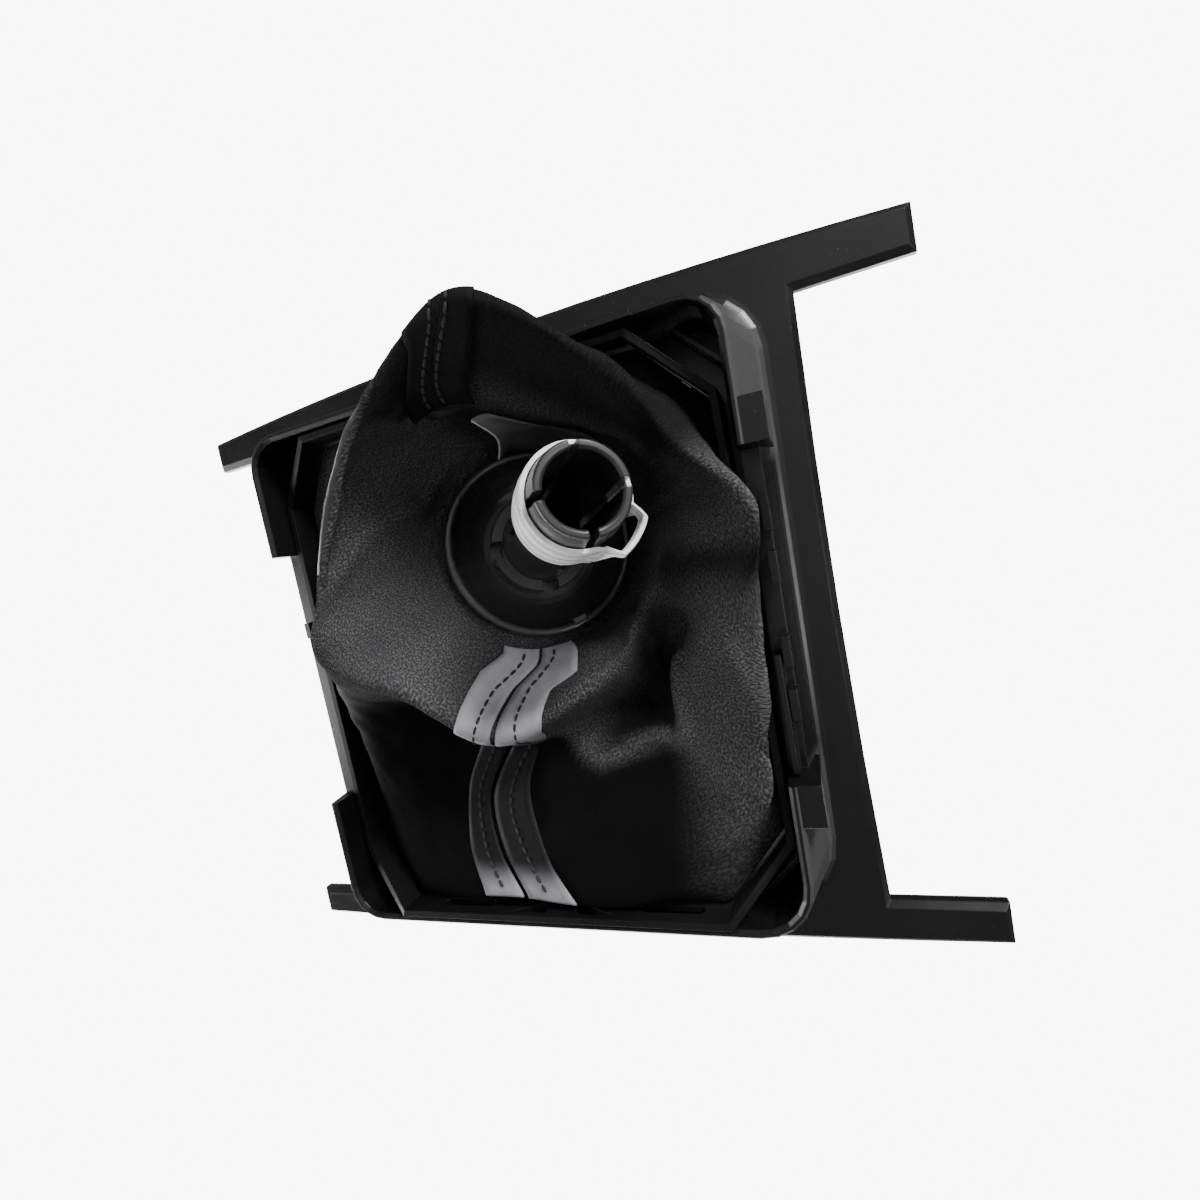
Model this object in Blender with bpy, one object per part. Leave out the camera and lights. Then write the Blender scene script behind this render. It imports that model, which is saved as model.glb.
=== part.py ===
"""Gear knob with its gaiter and console trim frame, in metres.

The frame lies as it does in a console: outer face up (+Z), rails along X.
The knob is pushed down through the frame, so its base ring, lever sleeve and
ear clamp hang below, and the gaiter shows its backing there.
The origin is the centre of the frame, on the underside of its flange.
"""
import math

import bmesh
import bpy
from mathutils import Matrix, Vector

MM = 0.001

# Fits between pieces
GAP = 0.3 * MM                  # clearance between pieces that seat on each other
SNAP_GAP = 0.6 * MM             # clearance of the retainer inside the skirt

# Trim frame in plan
RAIL_SPAN = 187.6 * MM          # arm tip to arm tip
BODY_SPAN = 142.5 * MM          # between the flange edges that join the rails
RAIL_HALF_WIDTH = 75.0 * MM     # centre to a rail's outer edge, at the arm tips
BACK_RAIL_BOW = 3.5 * MM        # how far the back rail bows out at its middle
FRONT_RAIL_BOW = 1.5 * MM       # the same for the front rail
RIGHT_ARM_WIDTH = 9.1 * MM
LEFT_ARM_WIDTH = 8.3 * MM
SIDE_EDGE_BOW = 1.0 * MM        # how far the flange's side edges bow in
RAIL_THICKNESS = 4.2 * MM
UNDER_CHAMFER = 1.3 * MM        # chamfer round the underside
FACE_ROUND = 1.4 * MM           # rounding round the outer face
ARC_STEPS = 14                  # facets along a bowed rail

# Skirt under the frame
SKIRT_LEFT = -61.2 * MM         # outer faces at the tip
SKIRT_RIGHT = 59.0 * MM         # at the back corner
SKIRT_RIGHT_TAPER = 2.0 * MM    # how far the right wall comes in at the front
SKIRT_BACK = -65.6 * MM
SKIRT_FRONT = 62.6 * MM
SKIRT_DEPTH = 18.8 * MM
SKIRT_WALL = 2.0 * MM
SKIRT_TIP_ROUND = 0.7 * MM
SKIRT_CORNER = 9.0 * MM
SKIRT_WIDE_CORNER = 12.0 * MM   # the front right corner is rounder
SKIRT_DRAFT = 3.8 * MM          # how far the wall leans out from tip to flange
SKIRT_FILLET = 2.6 * MM         # blend from wall to flange
LIP_WIDTH = 8.0 * MM            # the face runs in past the skirt, over the gaiter's edge
WINDOW_CORNER = 6.0 * MM
CORNER_STEPS = 5
FILLET_STEPS = 4

# Notches between the full-height tabs
NOTCH_BACK = -36.0 * MM
NOTCH_FRONT = 30.0 * MM
LEFT_NOTCH_DEPTH = 7.6 * MM
RIGHT_NOTCH_DEPTH = 9.4 * MM

# Clip blocks, hooks and ribs moulded on the skirt
CLIP_LENGTH = 8.6 * MM
CLIP_REACH = 6.0 * MM
CLIP_DEPTH = 15.5 * MM
HOOK_LENGTH = 6.5 * MM
HOOK_WIDTH = 1.8 * MM
HOOK_RISE = 3.4 * MM
HOOK_SET = 0.3 * MM             # from the wall's face out to the hooks
HOOK_ROOT = 2.0 * MM            # how far a hook runs up into the wall
HOOK_STARTS = (-26.0 * MM, -15.5 * MM, 1.5 * MM, 12.5 * MM)
BAR_WIDTH = 1.3 * MM
BAR_RISE = 4.6 * MM
BAR_BACK = 5.0 * MM
TIP_PAD_LENGTH = 9.0 * MM       # raised pad on the tip of the back wall
TIP_PAD_PLACE = 33.0 * MM
TIP_PAD_RISE = 1.1 * MM
BUMP_LENGTH = 4.0 * MM          # small step on the floor of the left notch
BUMP_PLACE = -18.0 * MM
BUMP_RISE = 2.2 * MM
CORNER_RIB = 1.0 * MM
CORNER_RIB_INSET = 13.0 * MM
CORNER_RIB_DEPTH = 7.0 * MM

# Gaiter retainer
RETAINER_WALL = 1.6 * MM
RETAINER_HEIGHT = 9.0 * MM
RETAINER_FRONT_DROP = 11.0 * MM # its upper edge below the flange, at the front
RETAINER_BACK_DROP = 8.6 * MM   # the same at the back
RETAINER_SIDE_DROP = 3.4 * MM   # the same at the sides, under the notches
RETAINER_CHAMFER = 14.5 * MM    # legs of the straps that cut the corners
POST_WIDTH = 7.5 * MM           # solid post in the middle of the front and back walls
BRACE_BAY = 12.0 * MM           # braced bay on each side of the post
BRACE_BAR = 1.4 * MM
OVAL_LENGTH = 15.0 * MM         # long oval hole past each braced bay
OVAL_HEIGHT = 2.6 * MM
OVAL_SPACE = 3.0 * MM
RETAINER_EDGE = 1.5 * MM        # left whole above and below the holes

# Knob axis, from the base ring towards the open end of the sleeve
RING_RIGHT = 5.2 * MM           # the ring's centre from the frame's centre
RING_AHEAD = -26.7 * MM
RING_ABOVE = 0.4 * MM
RING_CENTRE = Vector((RING_RIGHT, RING_AHEAD, RING_ABOVE))
AXIS = Vector((0.582, -0.125, -0.802)).normalized()
ROUND_STEPS = 36

# Base ring of the knob, heights along the axis from the ring's rim plane
RING_RADIUS = 23.4 * MM
RIM_WIDTH = 2.6 * MM
RIM_RISE = 1.3 * MM
DISH_DEPTH = 4.0 * MM
RING_FLOOR = 2.2 * MM           # thickness of the ring's floor
RING_NOTCH = 3.6 * MM

# Lever sleeve
SLEEVE_RADIUS = 9.2 * MM
SLEEVE_BORE = 7.2 * MM
SLEEVE_REACH = 44.0 * MM        # from the rim plane to the tip
SLEEVE_MOUTH = 1.3 * MM         # chamfer at the mouth
SLEEVE_TIP_ROUND = 0.8 * MM
SLEEVE_SLOTS = 4
SLOT_WIDTH = 1.7 * MM
SLOT_DEPTH = 30.0 * MM
SLOT_PHASE = math.radians(0.0)
FOOT_RADIUS = 12.2 * MM
FOOT_HEIGHT = 5.0 * MM
FOOT_NOTCH = 4.0 * MM
SLEEVE_TAIL = 9.0 * MM          # how far the sleeve runs into the knob

# Ear clamp
CLAMP_WIDTH = 9.0 * MM
CLAMP_THICKNESS = 0.8 * MM
CLAMP_PLACE = 4.6 * MM          # from the sleeve's tip to the band
EAR_SPAN = math.radians(50.0)
EAR_RISE = 4.6 * MM
EAR_ANGLE = math.radians(-44.0)
CLAMP_STEPS = 44

# Knob, lengths along the axis away from the sleeve
NECK_START = 7.4 * MM
NECK_RADIUS = 21.6 * MM
NECK_LENGTH = 9.0 * MM
GRIP_LENGTH = 52.0 * MM
GRIP_WAIST = 15.5 * MM
GRIP_BELLY = 22.5 * MM
GRIP_TOP = 17.5 * MM
GRIP_WALL = 2.4 * MM
GRIP_STEPS = 10
CORE_BORE = 5.2 * MM
TRIM_RING_HEIGHT = 2.6 * MM
TRIM_RING_PROUD = 0.9 * MM
BEZEL_HEIGHT = 2.4 * MM
BEZEL_WIDTH = 2.6 * MM
CAP_RISE = 3.0 * MM

# Gaiter
GAITER_THICKNESS = 1.2 * MM
SEAM_GAP = 0.8 * MM             # between the two panels at a seam
HEM_RADIUS = 22.0 * MM
HEM_PLACE = 3.4 * MM            # hem behind the rim plane
LIP_CLEAR = 2.0 * MM            # from the base ring's edge to the gaiter round it
EDGE_DEPTH = 2.0 * MM           # gaiter's edge below the retainer's upper edge
# Each seam's place, as a share of the way round, at five places from hem to edge
FRONT_SEAM = (0.0, 0.0, 0.0, 0.0, 0.0)
BACK_SEAM = (0.353, 0.3685, 0.39, 0.417, 0.44)
FRONT_TAPE_WIDTH = 18.0 * MM
BACK_TAPE_WIDTH = 13.0 * MM
TAPE_THICKNESS = 0.5 * MM
TAPE_GAP = 0.9 * MM             # between a tape and the gaiter, where folds are tight
FRONT_TAPE_START = 0.15         # shares of the way from the hem to the retainer
BACK_TAPE_START = 0.24
FRONT_TAPE_END = 0.85
BACK_TAPE_END = 0.50
HEM_TAPE_RUN = (0.11, 0.20)
HEM_TAPE_ARC = (0.30, 0.533)     # shares of the way round
AROUND_STEPS = 40
ALONG_STEPS = 27

# Control points of the gaiter in millimetres. Each rib runs from the base ring
# to the frame: collar, rise, fold, tuck, crest, belly and the turn into the retainer
RIBS = (
    ("front_seam", (0, 2, -8), (-3, 9, -16), (-4, 15, -21), (-8, 21, -7),
     (-14, 33, -10), (-12, 45, -14), (-7, 55, -16.5)),
    ("front_left", (-16, -8, -18), (-20, -3, -24), (-22, 1, -28), (-25, 8, -12),
     (-30, 20, -11), (-35, 36, -15), (-38, 49, -15)),
    ("left", (-23, -23, -21), (-30, -19, -29), (-36, -12, -34), (-43, -4, -25),
     (-48, 0, -19), (-51, 4, -14), (-53, 7, -10)),
    ("left_back", (-16, -42, -18), (-18, -47, -28), (-16, -49, -37), (-27, -46, -28),
     (-36, -44, -20), (-42, -42, -14), (-46, -42, -11)),
    ("back_left", (-7, -54, -14), (-8, -55, -28), (6, -64, -40), (0, -67, -31),
     (-9, -63, -24), (-18, -57, -19), (-20, -58, -14)),
    ("back_seam", (7, -54, -8), (8, -58, -28), (22, -66, -41), (18, -69, -30),
     (17, -64, -24), (16, -57, -19), (16, -58, -14)),
    ("back_right", (26, -49, 1), (30, -47, -12), (39, -51, -30), (36.5, -54, -21),
     (35.5, -55, -16.5), (36, -56, -14), (37, -56.5, -12)),
    ("hollow", (32, -40, 3), (38, -41, -12), (46, -39, -26), (47.2, -41.5, -19.5),
     (48.3, -42.5, -15), (48.8, -42.5, -11.5), (49.6, -42, -8.5)),
    ("right", (34, -28, 3), (43, -28, -9), (51, -26, -21), (58, -21, -26),
     (57, -16, -21.5), (55.5, -11, -18.5), (50.4, -13, -12)),
    ("front_right", (29, -10, 2), (31, -11, -2), (33, -9, -4), (33, 2, 5),
     (38, 8, -9), (53, 16, -19), (50.2, 17, -12.5)),
    ("front_corner", (24, -5, -1), (26, -4, -5), (28, -3, -7), (28, 8, 4),
     (36, 20, -9), (47, 35, -16), (47, 42, -13)),
    ("front_middle", (17, -1, -4), (20, 2, -8), (22, 5, -10), (22, 14, 2),
     (25, 24, -8), (23, 42, -14), (21, 55, -17)),
)

# Colours as linear RGB, with roughness and metallic
FINISHES = {
    "gloss_black": ((0.010, 0.010, 0.011), 0.28, 0.0),
    "satin_black": ((0.016, 0.016, 0.018), 0.45, 0.0),
    "steel": ((0.62, 0.62, 0.63), 0.25, 1.0),
    "backing": ((0.022, 0.022, 0.026), 0.85, 0.0),
    "tape": ((0.055, 0.055, 0.060), 0.60, 0.0),
    "chrome": ((0.75, 0.75, 0.76), 0.12, 1.0),
    "leather": ((0.014, 0.014, 0.015), 0.55, 0.0),
}


def clear_scene():
    for old in list(bpy.data.objects):
        bpy.data.objects.remove(old, do_unlink=True)


def finish(name):
    colour, roughness, metallic = FINISHES[name]
    material = bpy.data.materials.get(name) or bpy.data.materials.new(name)
    material.use_nodes = True
    shader = material.node_tree.nodes["Principled BSDF"]
    shader.inputs["Base Color"].default_value = (*colour, 1.0)
    shader.inputs["Roughness"].default_value = roughness
    shader.inputs["Metallic"].default_value = metallic
    return material


def add_object(name, bm, look=None):
    bmesh.ops.remove_doubles(bm, verts=bm.verts[:], dist=1e-6)
    mesh = bpy.data.meshes.new(name)
    bm.to_mesh(mesh)
    bm.free()
    piece = bpy.data.objects.new(name, mesh)
    bpy.context.collection.objects.link(piece)
    if look:
        mesh.materials.append(finish(look))
        mesh.shade_smooth()
        mesh.set_sharp_from_angle(angle=math.radians(35))
    else:
        piece.hide_render = True
        piece.display_type = "WIRE"
    return piece


def combine(piece, tool, operation):
    change = piece.modifiers.new(tool.name, "BOOLEAN")
    change.operation = operation
    change.solver = "EXACT"
    change.object = tool


def fix_normals(bm):
    bmesh.ops.recalc_face_normals(bm, faces=bm.faces[:])


def add_box(bm, low, high, turn=None):
    middle = (Vector(low) + Vector(high)) / 2
    size = Vector(high) - Vector(low)
    matrix = Matrix.Translation(middle) @ (turn or Matrix.Identity(4)) @ Matrix.Diagonal((*size, 1.0))
    bmesh.ops.create_cube(bm, size=1.0, matrix=matrix)


def add_prism(bm, outline, z_low, z_high):
    """A straight prism on a flat outline of (x, y) points."""
    base = bm.faces.new([bm.verts.new((x, y, z_low)) for x, y in outline])
    grown = bmesh.ops.extrude_face_region(bm, geom=[base])
    top = [item for item in grown["geom"] if isinstance(item, bmesh.types.BMVert)]
    bmesh.ops.translate(bm, verts=top, vec=(0, 0, z_high - z_low))


def skin(bm, loops, closed=True):
    """Faces between neighbouring loops of points; closed joins last to first."""
    rings = [[bm.verts.new(point) for point in loop] for loop in loops]
    pairs = list(zip(rings, rings[1:]))
    if closed:
        pairs.append((rings[-1], rings[0]))
    for ring_a, ring_b in pairs:
        for i in range(len(ring_a)):
            j = (i + 1) % len(ring_a)
            bm.faces.new((ring_a[i], ring_a[j], ring_b[j], ring_b[i]))
    return rings


def bowed(start, end, bow, steps):
    """Points from start to end on a shallow arc that bows by (x, y) at its middle."""
    points = []
    for i in range(steps + 1):
        t = i / steps
        lift = 1.0 - (2.0 * t - 1.0) ** 2
        x = start[0] + (end[0] - start[0]) * t + bow[0] * lift
        y = start[1] + (end[1] - start[1]) * t + bow[1] * lift
        points.append((x, y))
    return points


def right_face(y):
    """The outer face of the skirt's right wall, which tapers in to the front."""
    share = (y - SKIRT_BACK) / (SKIRT_FRONT - SKIRT_BACK)
    return SKIRT_RIGHT - SKIRT_RIGHT_TAPER * share


def rounded_loop(offset, z):
    """The skirt's plan outline, moved out by offset, as points at height z."""
    left = SKIRT_LEFT - offset
    right = SKIRT_RIGHT + offset
    back = SKIRT_BACK - offset
    front = SKIRT_FRONT + offset
    small = max(SKIRT_CORNER + offset, WINDOW_CORNER)
    wide = max(SKIRT_WIDE_CORNER + offset, WINDOW_CORNER)
    corners = (
        (right, front, wide, 0.0),
        (left, front, small, 90.0),
        (left, back, small, 180.0),
        (right, back, small, 270.0),
    )
    points = []
    for x, y, radius, start in corners:
        centre_x = x - math.copysign(radius, x)
        centre_y = y - math.copysign(radius, y)
        for i in range(CORNER_STEPS + 1):
            angle = math.radians(start + 90.0 * i / CORNER_STEPS)
            across = centre_x + radius * math.cos(angle)
            along = centre_y + radius * math.sin(angle)
            if across > 0:
                across += right_face(along) - SKIRT_RIGHT
            points.append(Vector((across, along, z)))
    return points


def frame_outline():
    """The H-shaped outline of rails, arms and flanges, anticlockwise."""
    tip = RAIL_SPAN / 2
    side = BODY_SPAN / 2
    edge = RAIL_HALF_WIDTH
    right_arm = edge - RIGHT_ARM_WIDTH
    left_arm = edge - LEFT_ARM_WIDTH
    outline = bowed((-tip, -edge), (tip, -edge), (0, -BACK_RAIL_BOW), ARC_STEPS)
    outline.append((tip, -right_arm))
    outline += bowed((side, -right_arm), (side, right_arm), (-SIDE_EDGE_BOW, 0), 4)
    outline.append((tip, right_arm))
    outline += bowed((tip, edge), (-tip, edge), (0, FRONT_RAIL_BOW), ARC_STEPS)
    outline.append((-tip, left_arm))
    outline += bowed((-side, left_arm), (-side, -left_arm), (SIDE_EDGE_BOW, 0), 4)
    outline.append((-tip, -left_arm))
    return outline


def skirt_body():
    """The skirt with its blend into the flange, as one ring."""
    loops = []
    root = SKIRT_DRAFT * (1.0 - SKIRT_FILLET / SKIRT_DEPTH)
    for i in range(FILLET_STEPS + 1):
        turn = math.radians(90.0 * i / FILLET_STEPS)
        reach = root + SKIRT_FILLET * (1.0 - math.sin(turn))
        loops.append(rounded_loop(reach, -SKIRT_FILLET * (1.0 - math.cos(turn))))
    loops.append(rounded_loop(0, SKIRT_TIP_ROUND - SKIRT_DEPTH))
    loops.append(rounded_loop(-SKIRT_TIP_ROUND, -SKIRT_DEPTH))
    loops.append(rounded_loop(SKIRT_TIP_ROUND - SKIRT_WALL, -SKIRT_DEPTH))
    loops.append(rounded_loop(-SKIRT_WALL, SKIRT_TIP_ROUND - SKIRT_DEPTH))
    loops.append(rounded_loop(-SKIRT_WALL, RAIL_THICKNESS / 2))
    loops.append(rounded_loop(root + SKIRT_FILLET, RAIL_THICKNESS / 2))
    bm = bmesh.new()
    skin(bm, loops)
    fix_normals(bm)
    return add_object("guide_skirt", bm)


def notch_cutters():
    """Boxes that lower the left and right walls between their tabs."""
    bm = bmesh.new()
    below = -SKIRT_DEPTH - 2 * MM
    left_floor = LEFT_NOTCH_DEPTH - SKIRT_DEPTH
    right_floor = RIGHT_NOTCH_DEPTH - SKIRT_DEPTH
    left_in = SKIRT_LEFT + SKIRT_WALL + 2 * MM
    left_out = SKIRT_LEFT - SKIRT_DRAFT
    add_box(bm, (left_out, NOTCH_BACK, below), (left_in, NOTCH_FRONT, left_floor))
    right_in = right_face(NOTCH_FRONT) - SKIRT_WALL - 2 * MM
    right_out = right_face(NOTCH_BACK) + SKIRT_DRAFT
    add_box(bm, (right_in, NOTCH_BACK, below), (right_out, NOTCH_FRONT, right_floor))
    return add_object("guide_notches", bm)


def notch_hooks():
    """Hooks that hang from the floor of the right notch."""
    bm = bmesh.new()
    floor = RIGHT_NOTCH_DEPTH - SKIRT_DEPTH
    for start in HOOK_STARTS:
        side = right_face(start) + HOOK_SET
        low = (side, start, floor - HOOK_RISE)
        add_box(bm, low, (side + HOOK_WIDTH, start + HOOK_LENGTH, floor + HOOK_ROOT))
    return add_object("guide_hooks", bm)


def notch_bar():
    """Slim bar along the floor of the right notch."""
    bm = bmesh.new()
    floor = RIGHT_NOTCH_DEPTH - SKIRT_DEPTH
    side = right_face(BAR_BACK)
    low = (side - BAR_WIDTH, BAR_BACK, floor - BAR_RISE)
    add_box(bm, low, (side, NOTCH_FRONT - 0.5 * MM, floor + 1 * MM))
    return add_object("guide_bar", bm)


def skirt_details():
    """Clip blocks, the tip pad and the notch step."""
    bm = bmesh.new()
    tip = -SKIRT_DEPTH + 0.4 * MM
    for start in (NOTCH_BACK - CLIP_LENGTH, NOTCH_FRONT):
        inner = right_face(start + CLIP_LENGTH / 2) - SKIRT_WALL + 0.25 * MM
        low = (inner, start, tip)
        high = (inner + CLIP_REACH, start + CLIP_LENGTH, tip + CLIP_DEPTH)
        add_box(bm, low, high)
    low = (TIP_PAD_PLACE, SKIRT_BACK + 0.3 * MM, -SKIRT_DEPTH - TIP_PAD_RISE)
    high = (TIP_PAD_PLACE + TIP_PAD_LENGTH, SKIRT_BACK + SKIRT_WALL - 0.3 * MM, 1 * MM - SKIRT_DEPTH)
    add_box(bm, low, high)
    left_floor = LEFT_NOTCH_DEPTH - SKIRT_DEPTH
    low = (SKIRT_LEFT + 0.2 * MM, BUMP_PLACE, left_floor - BUMP_RISE)
    high = (SKIRT_LEFT + SKIRT_WALL - 0.2 * MM, BUMP_PLACE + BUMP_LENGTH, left_floor + 1 * MM)
    add_box(bm, low, high)
    return add_object("guide_details", bm)


def corner_ribs():
    """Thin ribs across the four inner corners of the skirt."""
    bm = bmesh.new()
    corners = (
        (SKIRT_LEFT, SKIRT_BACK),
        (right_face(SKIRT_BACK), SKIRT_BACK),
        (right_face(SKIRT_FRONT), SKIRT_FRONT),
        (SKIRT_LEFT, SKIRT_FRONT),
    )
    reach = CORNER_RIB_INSET - SKIRT_WALL * 0.5
    length = reach * math.sqrt(2.0)
    for x, y in corners:
        side_x = math.copysign(1.0, x)
        side_y = math.copysign(1.0, y)
        middle_x = x - side_x * (SKIRT_WALL * 0.5 + reach / 2)
        middle_y = y - side_y * (SKIRT_WALL * 0.5 + reach / 2)
        turn = Matrix.Rotation(-side_x * side_y * math.radians(45.0), 4, "Z")
        low = Vector((middle_x - length / 2, middle_y - CORNER_RIB / 2, -CORNER_RIB_DEPTH))
        high = Vector((middle_x + length / 2, middle_y + CORNER_RIB / 2, 1.5 * MM))
        add_box(bm, low, high, turn)
    return add_object("guide_ribs", bm)


def trim_frame():
    """Rails, arms, flanges and skirt, moulded as one piece."""
    bm = bmesh.new()
    add_prism(bm, frame_outline(), 0.0, RAIL_THICKNESS)
    fix_normals(bm)
    under = [e for e in bm.edges if all(v.co.z < 0.5 * MM for v in e.verts)]
    bmesh.ops.bevel(bm, geom=under, offset=UNDER_CHAMFER, segments=1, profile=0.5,
                    affect="EDGES", material=-1)
    face = [e for e in bm.edges if all(v.co.z > RAIL_THICKNESS - 0.5 * MM for v in e.verts)]
    bmesh.ops.bevel(bm, geom=face, offset=FACE_ROUND, segments=3, profile=0.5,
                    affect="EDGES", material=-1)
    piece = add_object("trim_frame", bm, "gloss_black")
    bm = bmesh.new()
    inset = -SKIRT_WALL - LIP_WIDTH
    window = [rounded_loop(inset, z) for z in (-2 * MM, RAIL_THICKNESS + 2 * MM)]
    rings = skin(bm, window, closed=False)
    for ring in rings:
        bm.faces.new(ring)
    fix_normals(bm)
    combine(piece, add_object("guide_window", bm), "DIFFERENCE")
    combine(piece, skirt_body(), "UNION")
    combine(piece, corner_ribs(), "UNION")
    combine(piece, notch_cutters(), "DIFFERENCE")
    combine(piece, skirt_details(), "UNION")
    combine(piece, notch_bar(), "UNION")
    combine(piece, notch_hooks(), "UNION")
    return piece


def octagon(inset, lower=0.0):
    """The retainer's rim: a rectangle cut by straps that slope at the corners."""
    seat = SKIRT_WALL + SNAP_GAP + inset
    left = SKIRT_LEFT + seat
    right = right_face(SKIRT_FRONT) - seat
    back = SKIRT_BACK + seat
    front = SKIRT_FRONT - seat
    cut = RETAINER_CHAMFER - inset * (2.0 - math.sqrt(2.0))
    side = -RETAINER_SIDE_DROP - lower
    near = -RETAINER_FRONT_DROP - lower
    far = -RETAINER_BACK_DROP - lower
    return [Vector(point) for point in (
        (right, front - cut, side), (right - cut, front, near),
        (left + cut, front, near), (left, front - cut, side),
        (left, back + cut, side), (left + cut, back, far),
        (right - cut, back, far), (right, back + cut, side),
    )]


def oval(start, length, height, steps=5):
    """A long hole with round ends, as (x, z) points about z = 0."""
    radius = height / 2
    points = []
    for centre, first in ((start + length - radius, -90.0), (start + radius, 90.0)):
        for i in range(steps + 1):
            angle = math.radians(first + 180.0 * i / steps)
            points.append((centre + radius * math.cos(angle), radius * math.sin(angle)))
    return points


def brace_cutters():
    """Holes in the front and back walls: braced bays beside a post, then ovals."""
    bm = bmesh.new()
    tall = RETAINER_HEIGHT / 2 - RETAINER_EDGE
    post = POST_WIDTH / 2
    bay = post + BRACE_BAY
    slack = BRACE_BAR * 1.2
    shapes = (
        [(post, -tall), (bay - slack * 1.6, -tall), (post, tall - slack)],
        [(bay, tall), (post + slack * 1.6, tall), (bay, slack - tall)],
        oval(bay + OVAL_SPACE, OVAL_LENGTH, OVAL_HEIGHT),
    )
    seat = SKIRT_WALL + SNAP_GAP
    for wall, drop in ((SKIRT_FRONT - seat, RETAINER_FRONT_DROP), (SKIRT_BACK + seat, RETAINER_BACK_DROP)):
        inward = -math.copysign(1.0, wall)
        start = wall - inward * 1.0 * MM
        depth = Vector((0, inward * (RETAINER_WALL + 2.0 * MM), 0))
        middle_z = -drop - RETAINER_HEIGHT / 2
        for side in (1.0, -1.0):
            for shape in shapes:
                near = [Vector((side * a, start, middle_z + b)) for a, b in shape]
                rings = skin(bm, (near, [point + depth for point in near]), closed=False)
                for ring in rings:
                    bm.faces.new(ring)
    fix_normals(bm)
    return add_object("guide_braces", bm)


def gaiter_retainer():
    """Thin rim that carries the gaiter inside the skirt."""
    bm = bmesh.new()
    loops = (
        octagon(0), octagon(0, RETAINER_HEIGHT),
        octagon(RETAINER_WALL, RETAINER_HEIGHT), octagon(RETAINER_WALL),
    )
    skin(bm, loops)
    fix_normals(bm)
    piece = add_object("gaiter_retainer", bm, "satin_black")
    combine(piece, brace_cutters(), "DIFFERENCE")
    return piece


def axis_matrix():
    """Local Z along the knob's axis, local Y in the plane of X and Z."""
    side = AXIS.cross(Vector((0, 1, 0))).normalized()
    up = AXIS.cross(side)
    turn = Matrix((side, up, AXIS)).transposed().to_4x4()
    return Matrix.Translation(RING_CENTRE) @ turn


def turned(profile, steps=ROUND_STEPS):
    """A ring turned from a closed profile of (radius, height) points."""
    bm = bmesh.new()
    points = [Vector((radius, 0, height)) for radius, height in profile]
    verts = [bm.verts.new(point) for point in points]
    edges = [bm.edges.new((a, b)) for a, b in zip(verts, verts[1:] + verts[:1])]
    bmesh.ops.spin(bm, geom=verts + edges, cent=(0, 0, 0), axis=(0, 0, 1), dvec=(0, 0, 0),
                   angle=math.tau, steps=steps, use_merge=True, use_duplicate=False)
    bmesh.ops.remove_doubles(bm, verts=bm.verts[:], dist=1e-6)
    fix_normals(bm)
    return bm


def turned_solid(profile, steps=ROUND_STEPS):
    """A solid turned from an open profile that starts and ends on the axis."""
    bm = bmesh.new()
    verts = [bm.verts.new((radius, 0, height)) for radius, height in profile]
    edges = [bm.edges.new((a, b)) for a, b in zip(verts, verts[1:])]
    bmesh.ops.spin(bm, geom=verts + edges, cent=(0, 0, 0), axis=(0, 0, 1), dvec=(0, 0, 0),
                   angle=math.tau, steps=steps, use_merge=True, use_duplicate=False)
    bmesh.ops.remove_doubles(bm, verts=bm.verts[:], dist=1e-6)
    fix_normals(bm)
    return bm


def quarter(centre, radius, start, end, steps=4):
    """Points of an arc in (radius, height), with angles in degrees."""
    points = []
    for i in range(steps + 1):
        angle = math.radians(start + (end - start) * i / steps)
        points.append((centre[0] + radius * math.cos(angle), centre[1] + radius * math.sin(angle)))
    return points


def base_ring():
    """Dished ring at the foot of the knob, with a raised round rim."""
    rim_middle = RING_RADIUS - RIM_WIDTH / 2
    bore = SLEEVE_RADIUS + GAP
    rim = quarter((rim_middle, RIM_RISE - RIM_WIDTH / 2), RIM_WIDTH / 2, 0, 180, 8)
    dish = []
    inner = RING_RADIUS - RIM_WIDTH
    for i in range(1, 7):
        t = i / 6
        radius = inner + (FOOT_RADIUS - inner) * t
        dish.append((radius, -DISH_DEPTH * math.sin(math.pi / 2 * t) - 0.4 * MM))
    under = -DISH_DEPTH - RING_FLOOR
    profile = rim + dish + [
        (bore, -DISH_DEPTH - 0.4 * MM),
        (bore, under),
        (HEM_RADIUS - GAITER_THICKNESS, under),
        (HEM_RADIUS - GAITER_THICKNESS, -DISH_DEPTH * 0.6),
        (RING_RADIUS - 0.4 * MM, -RIM_WIDTH / 2 - 0.6 * MM),
    ]
    bm = turned(profile)
    bmesh.ops.transform(bm, matrix=axis_matrix(), verts=bm.verts[:])
    piece = add_object("base_ring", bm, "gloss_black")
    bm = bmesh.new()
    size = RING_NOTCH / 2
    low = (-size, rim_middle - RIM_WIDTH, -0.2 * MM)
    add_box(bm, low, (size, rim_middle - 0.1 * MM, RIM_RISE + 1 * MM))
    turn = Matrix.Rotation(math.radians(195.0), 4, "Z")
    bmesh.ops.transform(bm, matrix=axis_matrix() @ turn, verts=bm.verts[:])
    combine(piece, add_object("guide_rim_notch", bm), "DIFFERENCE")
    return piece


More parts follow.
